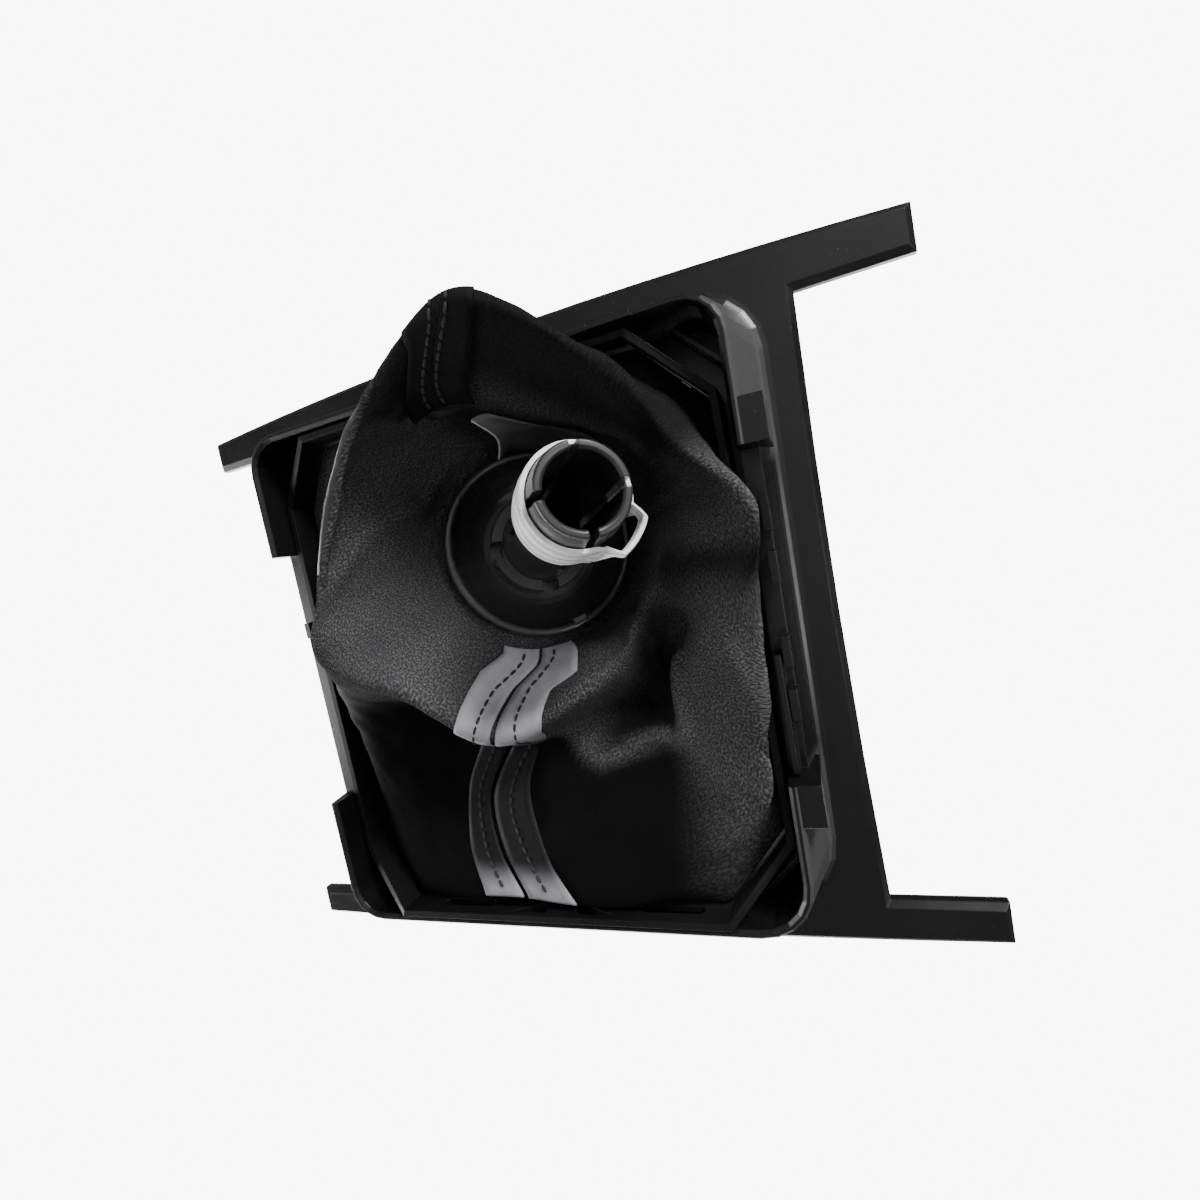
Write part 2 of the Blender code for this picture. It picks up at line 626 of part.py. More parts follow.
def lever_sleeve():
    """Slotted sleeve that grips the lever, with a notched foot."""
    tip = SLEEVE_REACH
    foot_base = -DISH_DEPTH - 0.4 * MM + GAP
    foot_top = foot_base + FOOT_HEIGHT
    outer = SLEEVE_RADIUS
    profile = [
        (SLEEVE_BORE, -DISH_DEPTH - SLEEVE_TAIL),
        (outer, -DISH_DEPTH - SLEEVE_TAIL),
        (outer, foot_base),
        (FOOT_RADIUS, foot_base),
        (FOOT_RADIUS, foot_top - 0.5 * MM),
        (FOOT_RADIUS - 0.5 * MM, foot_top),
        (outer, foot_top),
    ]
    profile += quarter((outer - SLEEVE_TIP_ROUND, tip - SLEEVE_TIP_ROUND), SLEEVE_TIP_ROUND, 0, 90, 3)
    profile += [(SLEEVE_BORE, tip - SLEEVE_MOUTH)]
    bm = turned(profile)
    bmesh.ops.transform(bm, matrix=axis_matrix(), verts=bm.verts[:])
    piece = add_object("lever_sleeve", bm, "gloss_black")
    bm = bmesh.new()
    for i in range(SLEEVE_SLOTS):
        turn = Matrix.Rotation(SLOT_PHASE + math.tau * i / SLEEVE_SLOTS, 4, "Z")
        part = bmesh.new()
        add_box(part, (SLEEVE_BORE - 2 * MM, -SLOT_WIDTH / 2, tip - SLOT_DEPTH),
                (outer + 2 * MM, SLOT_WIDTH / 2, tip + 2 * MM))
        add_box(part, (outer + 0.2 * MM, -FOOT_NOTCH / 2, foot_base - 1 * MM),
                (FOOT_RADIUS + 1 * MM, FOOT_NOTCH / 2, foot_top + 1 * MM))
        bmesh.ops.transform(part, matrix=axis_matrix() @ turn, verts=part.verts[:])
        mesh = bpy.data.meshes.new("slot")
        part.to_mesh(mesh)
        part.free()
        bm.from_mesh(mesh)
    combine(piece, add_object("guide_slots", bm), "DIFFERENCE")
    return piece


def ear_clamp():
    """Steel band round the sleeve with one raised ear."""
    inner = SLEEVE_RADIUS + GAP
    high = SLEEVE_REACH - CLAMP_PLACE
    low = high - CLAMP_WIDTH
    crown = CLAMP_THICKNESS * 0.35
    bm = bmesh.new()
    loops = []
    for i in range(CLAMP_STEPS):
        angle = math.tau * i / CLAMP_STEPS
        away = abs((angle - EAR_ANGLE + math.pi) % math.tau - math.pi) / (EAR_SPAN / 2)
        lift = EAR_RISE * max(0.0, min(1.0, (1.0 - away) / 0.35))
        near = inner + lift
        section = (
            (near, low), (near + CLAMP_THICKNESS, low),
            (near + CLAMP_THICKNESS + crown, (low + high) / 2),
            (near + CLAMP_THICKNESS, high), (near, high),
        )
        direction = Vector((math.cos(angle), math.sin(angle), 0))
        loops.append([direction * radius + Vector((0, 0, height)) for radius, height in section])
    skin(bm, loops)
    fix_normals(bm)
    bmesh.ops.transform(bm, matrix=axis_matrix(), verts=bm.verts[:])
    return add_object("ear_clamp", bm, "steel")


def grip_radius(t):
    """Outer radius of the grip from its foot, t = 0, to its top, t = 1."""
    waist = GRIP_WAIST + (GRIP_BELLY - GRIP_WAIST) * (0.5 - 0.5 * math.cos(math.pi * min(t / 0.72, 1.0)))
    close = max(0.0, (t - 0.72) / 0.28)
    return waist - (GRIP_BELLY - GRIP_TOP) * close ** 2


def knob_pieces():
    """Neck, trim ring, core, grip, bezel and cap, up the axis from the ring."""
    place = axis_matrix()
    neck_low = NECK_START
    neck_high = neck_low + NECK_LENGTH
    sleeve_clear = SLEEVE_RADIUS + GAP
    tail = DISH_DEPTH + SLEEVE_TAIL + GAP

    def put(name, bm, look):
        bmesh.ops.transform(bm, matrix=place, verts=bm.verts[:])
        return add_object(name, bm, look)

    neck = [
        (sleeve_clear, -neck_low), (NECK_RADIUS, -neck_low),
        (NECK_RADIUS, -neck_low - 2 * MM), (GRIP_WAIST + 1.5 * MM, -neck_high + 1 * MM),
        (GRIP_WAIST + 1.5 * MM, -neck_high), (CORE_BORE, -neck_high),
        (CORE_BORE, -tail), (sleeve_clear, -tail),
    ]
    put("knob_neck", turned(neck), "satin_black")

    ring_low = neck_high + GAP
    ring_high = ring_low + TRIM_RING_HEIGHT
    core_radius = GRIP_WAIST - GRIP_WALL - GAP
    ring_out = GRIP_WAIST + TRIM_RING_PROUD
    trim = [(core_radius + GAP, -ring_low), (ring_out, -ring_low)]
    trim += quarter((ring_out, -(ring_low + ring_high) / 2), TRIM_RING_HEIGHT / 2, 90, -90, 5)[1:-1]
    trim += [(ring_out, -ring_high), (core_radius + GAP, -ring_high)]
    put("neck_trim_ring", turned(trim), "chrome")

    grip_low = ring_high + GAP
    grip_high = grip_low + GRIP_LENGTH
    steps = GRIP_STEPS
    outside = [(grip_radius(i / steps), -(grip_low + GRIP_LENGTH * i / steps)) for i in range(steps + 1)]
    inside = [(grip_radius(i / steps) - GRIP_WALL, -(grip_low + GRIP_LENGTH * i / steps))
              for i in range(steps + 1)]
    put("grip_cover", turned(outside + inside[::-1]), "leather")

    core_low = ring_low
    core = [(CORE_BORE, -core_low), (core_radius, -core_low), (core_radius, -grip_low)]
    core += [(radius - GAP, height) for radius, height in inside]
    core += [(CORE_BORE, -grip_high)]
    put("grip_core", turned(core), "satin_black")

    bezel_low = grip_high + GAP
    bezel_high = bezel_low + BEZEL_HEIGHT
    cap_radius = GRIP_TOP - BEZEL_WIDTH
    bezel = [(cap_radius, -bezel_low), (GRIP_TOP, -bezel_low)]
    bezel += quarter((GRIP_TOP - BEZEL_HEIGHT, -bezel_low), BEZEL_HEIGHT, 0, -70, 4)[1:]
    bezel += [(cap_radius, -bezel_high)]
    put("cap_bezel", turned(bezel), "chrome")

    seat = cap_radius - GAP
    cap = [(0, -bezel_low), (seat, -bezel_low), (seat, -bezel_high)]
    for i in range(1, 6):
        t = i / 5
        cap.append((seat * math.cos(math.pi / 2 * t), -bezel_high - CAP_RISE * math.sin(math.pi / 2 * t)))
    cap[-1] = (0, cap[-1][1])
    put("top_cap", turned_solid(cap), "gloss_black")


def spline(points, t, closed):
    """A point at t, from 0 to 1, of a smooth curve through the points."""
    count = len(points)
    spans = count if closed else count - 1
    place = t * spans
    i = min(int(math.floor(place)), spans - 1) if not closed else int(math.floor(place))
    local = place - i

    def pick(k):
        return points[k % count] if closed else points[max(0, min(count - 1, k))]

    a, b, c, d = pick(i - 1), pick(i), pick(i + 1), pick(i + 2)
    return 0.5 * (2 * b + (c - a) * local + (2 * a - 5 * b + 4 * c - d) * local ** 2
                  + (3 * b - a - 3 * c + d) * local ** 3)


def frame_edge(direction):
    """Where a line from the retainer's middle meets its inner face, in plan."""
    plan = octagon(RETAINER_WALL + GAP + GAITER_THICKNESS / 2, EDGE_DEPTH)
    middle = sum(plan, Vector()) / len(plan)
    for a, b in zip(plan, plan[1:] + plan[:1]):
        edge = b - a
        across = direction.x * edge.y - direction.y * edge.x
        if abs(across) < 1e-12:
            continue
        reach = ((a.x - middle.x) * edge.y - (a.y - middle.y) * edge.x) / across
        along = ((a.x - middle.x) * direction.y - (a.y - middle.y) * direction.x) / across
        if reach > 0 and -1e-9 <= along <= 1 + 1e-9:
            return a + edge * along
    return middle


def gaiter_section(around):
    """The gaiter's section at one place around, from the hem to the retainer."""
    place = axis_matrix()
    loops = list(zip(*[[Vector(point) * MM for point in rib[1:]] for rib in RIBS]))
    controls = [spline(loop, around % 1.0, True) for loop in loops]
    toward = place.inverted() @ controls[0]
    toward.z = 0
    toward.normalize()
    hem = place @ (toward * HEM_RADIUS + Vector((0, 0, -HEM_PLACE)))
    lip = place @ (toward * (RING_RADIUS + LIP_CLEAR) + Vector((0, 0, -HEM_PLACE * 0.7)))
    belly = controls[-1]
    edge = frame_edge(Vector((belly.x, belly.y, 0)).normalized())
    return [hem, lip] + controls + [edge]


def gaiter_point(around, along):
    """A point of the gaiter's middle surface."""
    return spline(gaiter_section(around), along, False)


def gaiter_side(around, along):
    """Unit direction off the surface, towards the backing."""
    step = 0.004
    low = max(0.0, along - step)
    high = min(1.0, along + step)
    run = gaiter_point(around, high) - gaiter_point(around, low)
    turn = gaiter_point(around + step, along) - gaiter_point(around - step, along)
    return turn.cross(run).normalized()


def tape_point(around, along):
    """A point of a tape's middle surface, on the gaiter's backing."""
    lift = GAITER_THICKNESS / 2 + TAPE_GAP + TAPE_THICKNESS / 2
    return gaiter_point(around, along) + gaiter_side(around, along) * lift


def thicken(name, rows, thickness, look):
    """A closed piece from a grid of points, thickened about its middle."""
    bm = bmesh.new()
    grid = [[bm.verts.new(point) for point in row] for row in rows]
    for row_a, row_b in zip(grid, grid[1:]):
        for i in range(len(row_a) - 1):
            bm.faces.new((row_a[i], row_a[i + 1], row_b[i + 1], row_b[i]))
    piece = add_object(name, bm, look)
    wall = piece.modifiers.new("thickness", "SOLIDIFY")
    wall.thickness = thickness
    wall.offset = 0.0
    return piece


def gaiter_pieces():
    """Two leatherette panels and the tapes that cover their seams and the hem."""
    half = AROUND_STEPS // 2
    last = tuple(place + 1.0 for place in FRONT_SEAM)
    panels = (("gaiter_left_panel", FRONT_SEAM, BACK_SEAM), ("gaiter_right_panel", BACK_SEAM, last))
    for name, start, end in panels:
        rows = []
        for i in range(half + 1):
            row = []
            for j in range(ALONG_STEPS + 1):
                along = j / ALONG_STEPS
                low = spline(start, along, False)
                high = spline(end, along, False)
                row.append(gaiter_point(low + (high - low) * i / half, along))
            rows.append(row)
        for row, other in ((rows[0], rows[1]), (rows[-1], rows[-2])):
            for j in range(len(row)):
                away = (other[j] - row[j]).normalized()
                row[j] = row[j] + away * SEAM_GAP / 2
        thicken(name, rows, GAITER_THICKNESS, "backing")
    tapes = (
        ("front_seam_tape", FRONT_SEAM, FRONT_TAPE_START, FRONT_TAPE_END, FRONT_TAPE_WIDTH),
        ("back_seam_tape", BACK_SEAM, BACK_TAPE_START, BACK_TAPE_END, BACK_TAPE_WIDTH),
    )
    for name, seam, begin, end, width in tapes:
        rows = []
        for j in range(round(begin * ALONG_STEPS), round(end * ALONG_STEPS) + 1):
            along = j / ALONG_STEPS
            around = spline(seam, along, False)
            beside = gaiter_point(around + 0.03, along) - gaiter_point(around - 0.03, along)
            half_tape = width / 2 * 0.06 / beside.length
            rows.append([tape_point(around + i / 2 * half_tape, along) for i in range(-2, 3)])
        thicken(name, rows, TAPE_THICKNESS, "tape")
    rows = []
    for i in range(half // 2 + 1):
        around = HEM_TAPE_ARC[0] + (HEM_TAPE_ARC[1] - HEM_TAPE_ARC[0]) * i / (half // 2)
        run = HEM_TAPE_RUN[1] - HEM_TAPE_RUN[0]
        rows.append([tape_point(around, HEM_TAPE_RUN[0] + run * j / 5) for j in range(6)])
    thicken("hem_tape", rows, TAPE_THICKNESS, "tape")


def main():
    clear_scene()
    trim_frame()
    gaiter_retainer()
    base_ring()
    lever_sleeve()
    ear_clamp()
    knob_pieces()
    gaiter_pieces()


main()
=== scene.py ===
"""The looks of the gear knob with its gaiter and trim frame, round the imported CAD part."""
import math

import bmesh
import bpy
import numpy as np
from mathutils import Matrix, Vector


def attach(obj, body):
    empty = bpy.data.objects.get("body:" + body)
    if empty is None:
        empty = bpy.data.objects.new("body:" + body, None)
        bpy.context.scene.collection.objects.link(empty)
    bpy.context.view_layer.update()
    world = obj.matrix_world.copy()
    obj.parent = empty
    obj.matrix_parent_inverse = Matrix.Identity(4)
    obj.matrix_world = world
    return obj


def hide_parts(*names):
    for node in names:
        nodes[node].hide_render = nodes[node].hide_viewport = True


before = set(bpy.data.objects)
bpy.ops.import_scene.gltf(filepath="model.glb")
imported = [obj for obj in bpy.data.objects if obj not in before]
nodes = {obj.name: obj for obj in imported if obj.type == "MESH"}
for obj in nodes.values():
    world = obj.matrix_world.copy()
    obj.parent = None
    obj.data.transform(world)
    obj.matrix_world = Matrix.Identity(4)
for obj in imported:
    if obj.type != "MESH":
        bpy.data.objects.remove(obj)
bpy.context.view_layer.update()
MM = 0.001

# The gaiter's ribs, knob axis and retainer, as in part.py, in millimetres
RIBS = (
    ((0, 2, -8), (-3, 9, -16), (-4, 15, -21), (-8, 21, -7), (-14, 33, -10), (-12, 45, -14),
     (-7, 55, -16.5)),
    ((-16, -8, -18), (-20, -3, -24), (-22, 1, -28), (-25, 8, -12), (-30, 20, -11), (-35, 36, -15),
     (-38, 49, -15)),
    ((-23, -23, -21), (-30, -19, -29), (-36, -12, -34), (-43, -4, -25), (-48, 0, -19), (-51, 4, -14),
     (-53, 7, -10)),
    ((-16, -42, -18), (-18, -47, -28), (-16, -49, -37), (-27, -46, -28), (-36, -44, -20), (-42, -42, -14),
     (-46, -42, -11)),
    ((-7, -54, -14), (-8, -55, -28), (6, -64, -40), (0, -67, -31), (-9, -63, -24), (-18, -57, -19),
     (-20, -58, -14)),
    ((7, -54, -8), (8, -58, -28), (22, -66, -41), (18, -69, -30), (17, -64, -24), (16, -57, -19),
     (16, -58, -14)),
    ((26, -49, 1), (30, -47, -12), (39, -51, -30), (36.5, -54, -21), (35.5, -55, -16.5), (36, -56, -14),
     (37, -56.5, -12)),
    ((32, -40, 3), (38, -41, -12), (46, -39, -26), (47.2, -41.5, -19.5), (48.3, -42.5, -15),
     (48.8, -42.5, -11.5), (49.6, -42, -8.5)),
    ((34, -28, 3), (43, -28, -9), (51, -26, -21), (58, -21, -26), (57, -16, -21.5), (55.5, -11, -18.5),
     (50.4, -13, -12)),
    ((29, -10, 2), (31, -11, -2), (33, -9, -4), (33, 2, 5), (38, 8, -9), (53, 16, -19), (50.2, 17, -12.5)),
    ((24, -5, -1), (26, -4, -5), (28, -3, -7), (28, 8, 4), (36, 20, -9), (47, 35, -16), (47, 42, -13)),
    ((17, -1, -4), (20, 2, -8), (22, 5, -10), (22, 14, 2), (25, 24, -8), (23, 42, -14), (21, 55, -17)),
)
RING_CENTRE = np.array((5.2, -26.7, 0.4))
AXIS = np.array((0.582, -0.125, -0.802)) / np.linalg.norm((0.582, -0.125, -0.802))
RING_RADIUS = 23.4
HEM_RADIUS = 22.0
HEM_PLACE = 3.4
LIP_CLEAR = 2.0
GAITER_THICKNESS = 1.2
SKIRT_LEFT, SKIRT_RIGHT, SKIRT_BACK, SKIRT_FRONT = -61.2, 57.0, -65.6, 62.6
SKIRT_WALL = 2.0
SNAP_GAP = 0.6                  # between the skirt and the retainer
RETAINER_WALL = 1.6
RETAINER_CORNER = 14.5
GAP = 0.3                       # between pieces that seat on each other
EDGE_SIDE, EDGE_FRONT, EDGE_BACK = -5.4, -13.0, -10.6   # heights of the gaiter's edge
CLOTH_ROUND = 210.0             # rough length of the cloth round its middle
CLOTH_RUN = 105.0               # and from hem to frame
SPANS = 9                       # spans of a rib between its ten control places

# Sleeve and clamp in millimetres, with heights from the ring's rim plane towards the lever
SLEEVE_OUTER = 9.2
SLEEVE_BORE = 7.0
SLEEVE_TIP = 48.0
SLEEVE_TAIL = -13.0
SLOT_WIDTH = 1.7
SLOT_DEPTH = 34.0
FOOT_RADIUS = 12.2
FOOT_LOW, FOOT_HIGH = -4.1, 0.7
NOTCH_WIDTH = 4.0
FINGERS = 4
CLAMP_THICKNESS = 0.8
CLAMP_PLACE = 5.0               # from the sleeve's tip to the band
CLAMP_WIDTH = 13.0
CLAMP_CLEAR = 0.25              # between the sleeve and the band
RIDGES = 3.5                    # drawn ridges across the band
RIDGE_HEIGHT = 0.16
EAR_ANGLE = math.radians(-44.0)
EAR_SPAN = math.radians(56.0)
EAR_RISE = 3.1
EAR_NARROWING = 0.74            # share of the band's width that the ear loses
LUG_RISE = 0.7

# Knob in millimetres, with heights from the ring's rim plane towards the hand
NECK_RING_LOW, NECK_RING_HIGH = 16.7, 19.3
NECK_RING_BORE = 13.1
NECK_RING_OUTER = 16.4
GRIP_LOW = 19.6
GRIP_LENGTH = 52.0
GRIP_WAIST = 15.5
GRIP_BELLY = 22.5
GRIP_TOP = 17.5
GRIP_WALL = 2.4
GRIP_STEPS = 40
SEAM_DEPTH = 0.45
SEAM_WIDTH = 0.9
SEAM_STITCH_OFFSET = 1.7        # from the grip's seam to each row of stitches
BEZEL_LOW, BEZEL_HIGH = 71.9, 74.3
BEZEL_BORE = 14.9
CAP_RADIUS = 14.6
CAP_RISE = 3.0

# Tapes in millimetres
TAPE_THICKNESS = 0.5
TAPE_LIFT = GAITER_THICKNESS / 2 + 0.15 + TAPE_THICKNESS / 2
HEM_CURL = 2.6                  # how far the hem band's free end curls up

# Lines on the gaiter as (along, around): along runs from hem to frame, around from the front seam
FRONT_TAPE_RUN = (0.15, 0.895)
BACK_TAPE_RUN = (0.315, 0.49)
TAPE_PARTING = 0.0020           # half the gap between a tape's two flaps
FRONT_MIDDLE = ((0.15, -0.012), (0.23, -0.010), (0.29, 0.002), (0.43, 0.006), (0.60, 0.008), (0.90, 0.004))
FRONT_LEFT = ((0.15, 0.031), (0.19, 0.030), (0.26, 0.040), (0.42, 0.036), (0.70, 0.034), (0.90, 0.033))
FRONT_RIGHT = ((0.15, -0.055), (0.325, -0.055), (0.335, -0.034), (0.40, -0.031), (0.50, -0.022),
               (0.58, -0.017), (0.67, -0.020), (0.82, -0.026), (0.90, -0.034))
BACK_MIDDLE = ((0.27, 0.400), (0.341, 0.396), (0.448, 0.383), (0.50, 0.378))
BACK_LEFT = ((0.27, 0.356), (0.356, 0.353), (0.446, 0.336), (0.50, 0.334))
BACK_RIGHT = ((0.27, 0.424), (0.381, 0.424), (0.454, 0.414), (0.50, 0.410))
# Rows of stitches as start, end and a line
SEWN_LINES = (
    (0.17, 0.88, ((0.15, 0.008), (0.23, 0.010), (0.30, 0.020), (0.60, 0.021), (0.90, 0.018))),
    (0.17, 0.88, ((0.15, -0.030), (0.23, -0.027), (0.30, -0.014), (0.50, -0.009), (0.70, -0.008),
                  (0.90, -0.015))),
    (0.32, 0.48, ((0.27, 0.388), (0.448, 0.373), (0.50, 0.369))),
    (0.32, 0.48, ((0.27, 0.404), (0.448, 0.392), (0.50, 0.387))),
)
# The hem band's upper edge and the collar's crease as (around, along)
HEM_FOOT = 0.100                # where the band starts, along
HEM_BAND = ((0.398, 0.286), (0.421, 0.283), (0.450, 0.241), (0.506, 0.189), (0.535, 0.165))
COLLAR_CREASE = ((0.345, 0.150), (0.322, 0.161), (0.247, 0.189), (0.200, 0.348), (0.190, 0.44))
# Creases as height, width and a line of (around, along)
CREASES = (
    (2.0, 2.4, ((0.940, 0.630), (0.905, 0.655), (0.875, 0.676), (0.835, 0.669), (0.79, 0.655),
                (0.746, 0.637))),
    (-1.6, 3.2, ((0.90, 0.590), (0.84, 0.600), (0.78, 0.590))),
    (-1.4, 2.6, ((0.301, 0.367), (0.347, 0.302), (0.362, 0.262))),
    (1.0, 2.6, ((0.489, 0.481), (0.544, 0.406), (0.589, 0.435))),
    (0.9, 2.2, ((0.706, 0.591), (0.717, 0.711), (0.736, 0.830))),
    (-0.8, 3.0, ((0.06, 0.66), (0.10, 0.72), (0.12, 0.80))),
)
# Painted shade on the knit, which also smooths it, as depth, width and a line of (around, along)
PAINTED_SHADES = (
    (0.85, 6.0, ((0.722, 0.400), (0.710, 0.455), (0.703, 0.478), (0.683, 0.576), (0.675, 0.620))),
)
AROUND = 264                    # steps of the gaiter's grid
ALONG = 150

# Camera, floor and light in metres and watts
LENS = 17.480382
SENSOR = 36.0
CAMERA_PLACE = (67.05, -21.97, -130.86)             # millimetres
CAMERA_AXES = ((0.924, 0.1917, 0.3309), (0.1514, -0.9779, 0.144), (0.3512, -0.0829, -0.9326))
FLOOR_HEIGHT = -0.46
FLOOR_HALF = 3.0
FLOOR_LIFT = 0.8                # how much paler the camera sees the floor than it is lit
LAMPS = (
    # name, place, target, watts, size
    ("key", (0.38, -0.44, -0.20), (0, -0.01, -0.02), 9.5, 0.16),
    ("fill", (-0.45, 0.05, -0.20), (0, 0, -0.02), 2.4, 0.20),
    ("side", (0.50, 0.06, -0.23), (0, -0.01, -0.02), 1.6, 0.20),
    ("above", (0.25, 0.25, 0.60), (0, 0, 0.02), 3.0, 0.30),
)
AMBIENT = 0.04                  # strength of the surroundings on matt surfaces
SHINE = 0.13                    # what they add in reflections
CARD = 15.0                     # a white card beside the object, in reflections
CARD_SIDE = (-0.80, 0.55, -0.24)
BACKDROP = 9.0                  # strength of the surroundings as the camera sees them
SOFT_EDGE = 0.0004              # rounding of plastic edges in the shader


def add_lamp(name, place, target, energy, size):
    light = bpy.data.lights.new(name, "AREA")
    light.energy = energy
    light.size = size
    lamp = bpy.data.objects.new(name, light)
    bpy.context.collection.objects.link(lamp)
    lamp.location = place
    lamp.rotation_euler = (Vector(target) - Vector(place)).to_track_quat("-Z", "Y").to_euler()
    lamp.visible_camera = False


def make_camera():
    data = bpy.data.cameras.new("camera")
    data.lens = LENS
    data.sensor_width = SENSOR
    data.clip_start = 0.005
    camera = bpy.data.objects.new("camera", data)
    bpy.context.collection.objects.link(camera)
    turn = Matrix(CAMERA_AXES).transposed()
    camera.matrix_world = Matrix.Translation(Vector(CAMERA_PLACE) * MM) @ turn.to_4x4()
    bpy.context.scene.camera = camera


def make_floor():
    """A plain pale floor well below the object."""
    bm = bmesh.new()
    bmesh.ops.create_grid(bm, x_segments=2, y_segments=2, size=FLOOR_HALF)
    mesh = bpy.data.meshes.new("floor")
    bm.to_mesh(mesh)
    bm.free()
    floor = bpy.data.objects.new("floor", mesh)
    bpy.context.collection.objects.link(floor)
    floor.location = (0, 0, FLOOR_HEIGHT)
    pale = bpy.data.materials.new("floor_pale")
    pale.use_nodes = True
    shader = pale.node_tree.nodes["Principled BSDF"]
    shader.inputs["Base Color"].default_value = (0.62, 0.62, 0.63, 1)
    shader.inputs["Roughness"].default_value = 0.8
    n = Nodes(pale.node_tree)
    shader.inputs["Emission Color"].default_value = (1, 1, 1, 1)
    seen = n.math("MULTIPLY", n.add("ShaderNodeLightPath").outputs["Is Camera Ray"], FLOOR_LIFT)
    n.link(seen, shader.inputs["Emission Strength"])
    mesh.materials.append(pale)


def make_surroundings():
    """White surroundings that are faint on matt surfaces, with a white card in reflections."""
    world = bpy.data.worlds.new("soft_white")
    world.use_nodes = True
    n = Nodes(world.node_tree)
    back = world.node_tree.nodes["Background"]
    back.inputs["Color"].default_value = (1, 1, 1, 1)
    path = n.add("ShaderNodeLightPath")
    seen = n.math("MULTIPLY", path.outputs["Is Camera Ray"], BACKDROP)
    toward = n.add("ShaderNodeVectorMath", operation="DOT_PRODUCT")
    n.link(n.add("ShaderNodeTexCoord").outputs["Generated"], toward.inputs[0])
    toward.inputs[1].default_value = CARD_SIDE
    card = n.spread(toward.outputs["Value"], 0.35, 0.80, SHINE, CARD)
    shine = n.math("MULTIPLY", path.outputs["Is Glossy Ray"], card)
    n.link(n.math("ADD", n.math("ADD", seen, shine), AMBIENT), back.inputs["Strength"])
    bpy.context.scene.world = world


# Node helpers
class Nodes:
    """Small helper that adds and links shader nodes."""

    def __init__(self, tree):
        self.tree = tree

    def add(self, kind, **settings):
        node = self.tree.nodes.new(kind)
        for name, value in settings.items():
            setattr(node, name, value)
        return node

    def link(self, source, target):
        self.tree.links.new(source, target)

    def math(self, operation, a, b=None, clamp=False):
        node = self.add("ShaderNodeMath", operation=operation, use_clamp=clamp)
        for socket, value in zip(node.inputs, (a, b)):
            if value is None:
                continue
            if isinstance(value, (int, float)):
                socket.default_value = value
            else:
                self.link(value, socket)
        return node.outputs[0]

    def noise(self, vector, scale, detail=4.0, roughness=0.55):
        node = self.add("ShaderNodeTexNoise")
        self.link(vector, node.inputs["Vector"])
        node.inputs["Scale"].default_value = scale
        node.inputs["Detail"].default_value = detail
        node.inputs["Roughness"].default_value = roughness
        return node.outputs["Fac"]

    def spread(self, value, low, high, new_low, new_high):
        node = self.add("ShaderNodeMapRange")
        self.link(value, node.inputs["Value"])
        node.inputs["From Min"].default_value = low
        node.inputs["From Max"].default_value = high
        node.inputs["To Min"].default_value = new_low
        node.inputs["To Max"].default_value = new_high
        return node.outputs["Result"]

    def mix(self, factor, a, b):
        node = self.add("ShaderNodeMix", data_type="RGBA")
        for socket, value in ((node.inputs["Factor"], factor), (node.inputs["A"], a), (node.inputs["B"], b)):
            if isinstance(value, tuple):
                socket.default_value = (*value, 1.0)
            elif isinstance(value, (int, float)):
                socket.default_value = value
            else:
                self.link(value, socket)
        return node.outputs["Result"]

    def bump(self, height, strength, distance, normal=None):
        node = self.add("ShaderNodeBump")
        self.link(height, node.inputs["Height"])
        node.inputs["Strength"].default_value = strength
        node.inputs["Distance"].default_value = distance
        if normal is not None:
            self.link(normal, node.inputs["Normal"])
        return node.outputs["Normal"]


def new_group(name, inputs, outputs):
    tree = bpy.data.node_groups.new(name, "ShaderNodeTree")
    for label, kind, value in inputs:
        socket = tree.interface.new_socket(label, in_out="INPUT", socket_type=kind)
        if value is not None:
            socket.default_value = value
    for label, kind in outputs:
        tree.interface.new_socket(label, in_out="OUTPUT", socket_type=kind)
    n = Nodes(tree)
    start = n.add("NodeGroupInput")
    end = n.add("NodeGroupOutput")
    return n, start, end


FLOAT = "NodeSocketFloat"
VECTOR = "NodeSocketVector"


def knit_group():
    """A fine knit on coordinates in millimetres: broken rows of loops, specks and soft patches."""
    n, start, end = new_group("knit_loops", (
        ("Vector", VECTOR, None), ("Wale", FLOAT, 0.80), ("Course", FLOAT, 0.66), ("Wander", FLOAT, 0.9),
    ), (("Height", FLOAT), ("Patch", FLOAT), ("Speck", FLOAT)))
    place = start.outputs["Vector"]
    wobble = n.noise(place, 0.35, 4.0)
    parts = n.add("ShaderNodeSeparateXYZ")
    n.link(place, parts.inputs[0])
    shift = n.math("MULTIPLY", n.math("SUBTRACT", wobble, 0.5), start.outputs["Wander"])
    across = n.math("DIVIDE", n.math("ADD", parts.outputs["X"], shift), start.outputs["Wale"])
    along = n.math("DIVIDE", n.math("ADD", parts.outputs["Y"], shift), start.outputs["Course"])
    ridge = n.math("ABSOLUTE", n.math("SUBTRACT", n.math("FRACT", across), 0.5))
    lean = n.math("ADD", along, n.math("MULTIPLY", ridge, 1.6))
    loop = n.math("ABSOLUTE", n.math("SUBTRACT", n.math("FRACT", lean), 0.5))
    high = n.math("MULTIPLY", n.math("SUBTRACT", 0.55, ridge), n.math("ADD", loop, 0.35))
    speck = n.noise(place, 2.1, 2.0, 0.6)
    broken = n.spread(n.noise(place, 0.9, 2.0), 0.38, 0.62, 0.25, 1.0)
    loops = n.math("MULTIPLY", n.math("MULTIPLY", high, broken), 1.5)
    n.link(n.math("ADD", loops, n.math("MULTIPLY", speck, 0.9)), end.inputs["Height"])
    n.link(n.noise(place, 0.06, 5.0, 0.6), end.inputs["Patch"])
    n.link(n.spread(speck, 0.47, 0.62, 0.0, 1.0), end.inputs["Speck"])
    return n.tree


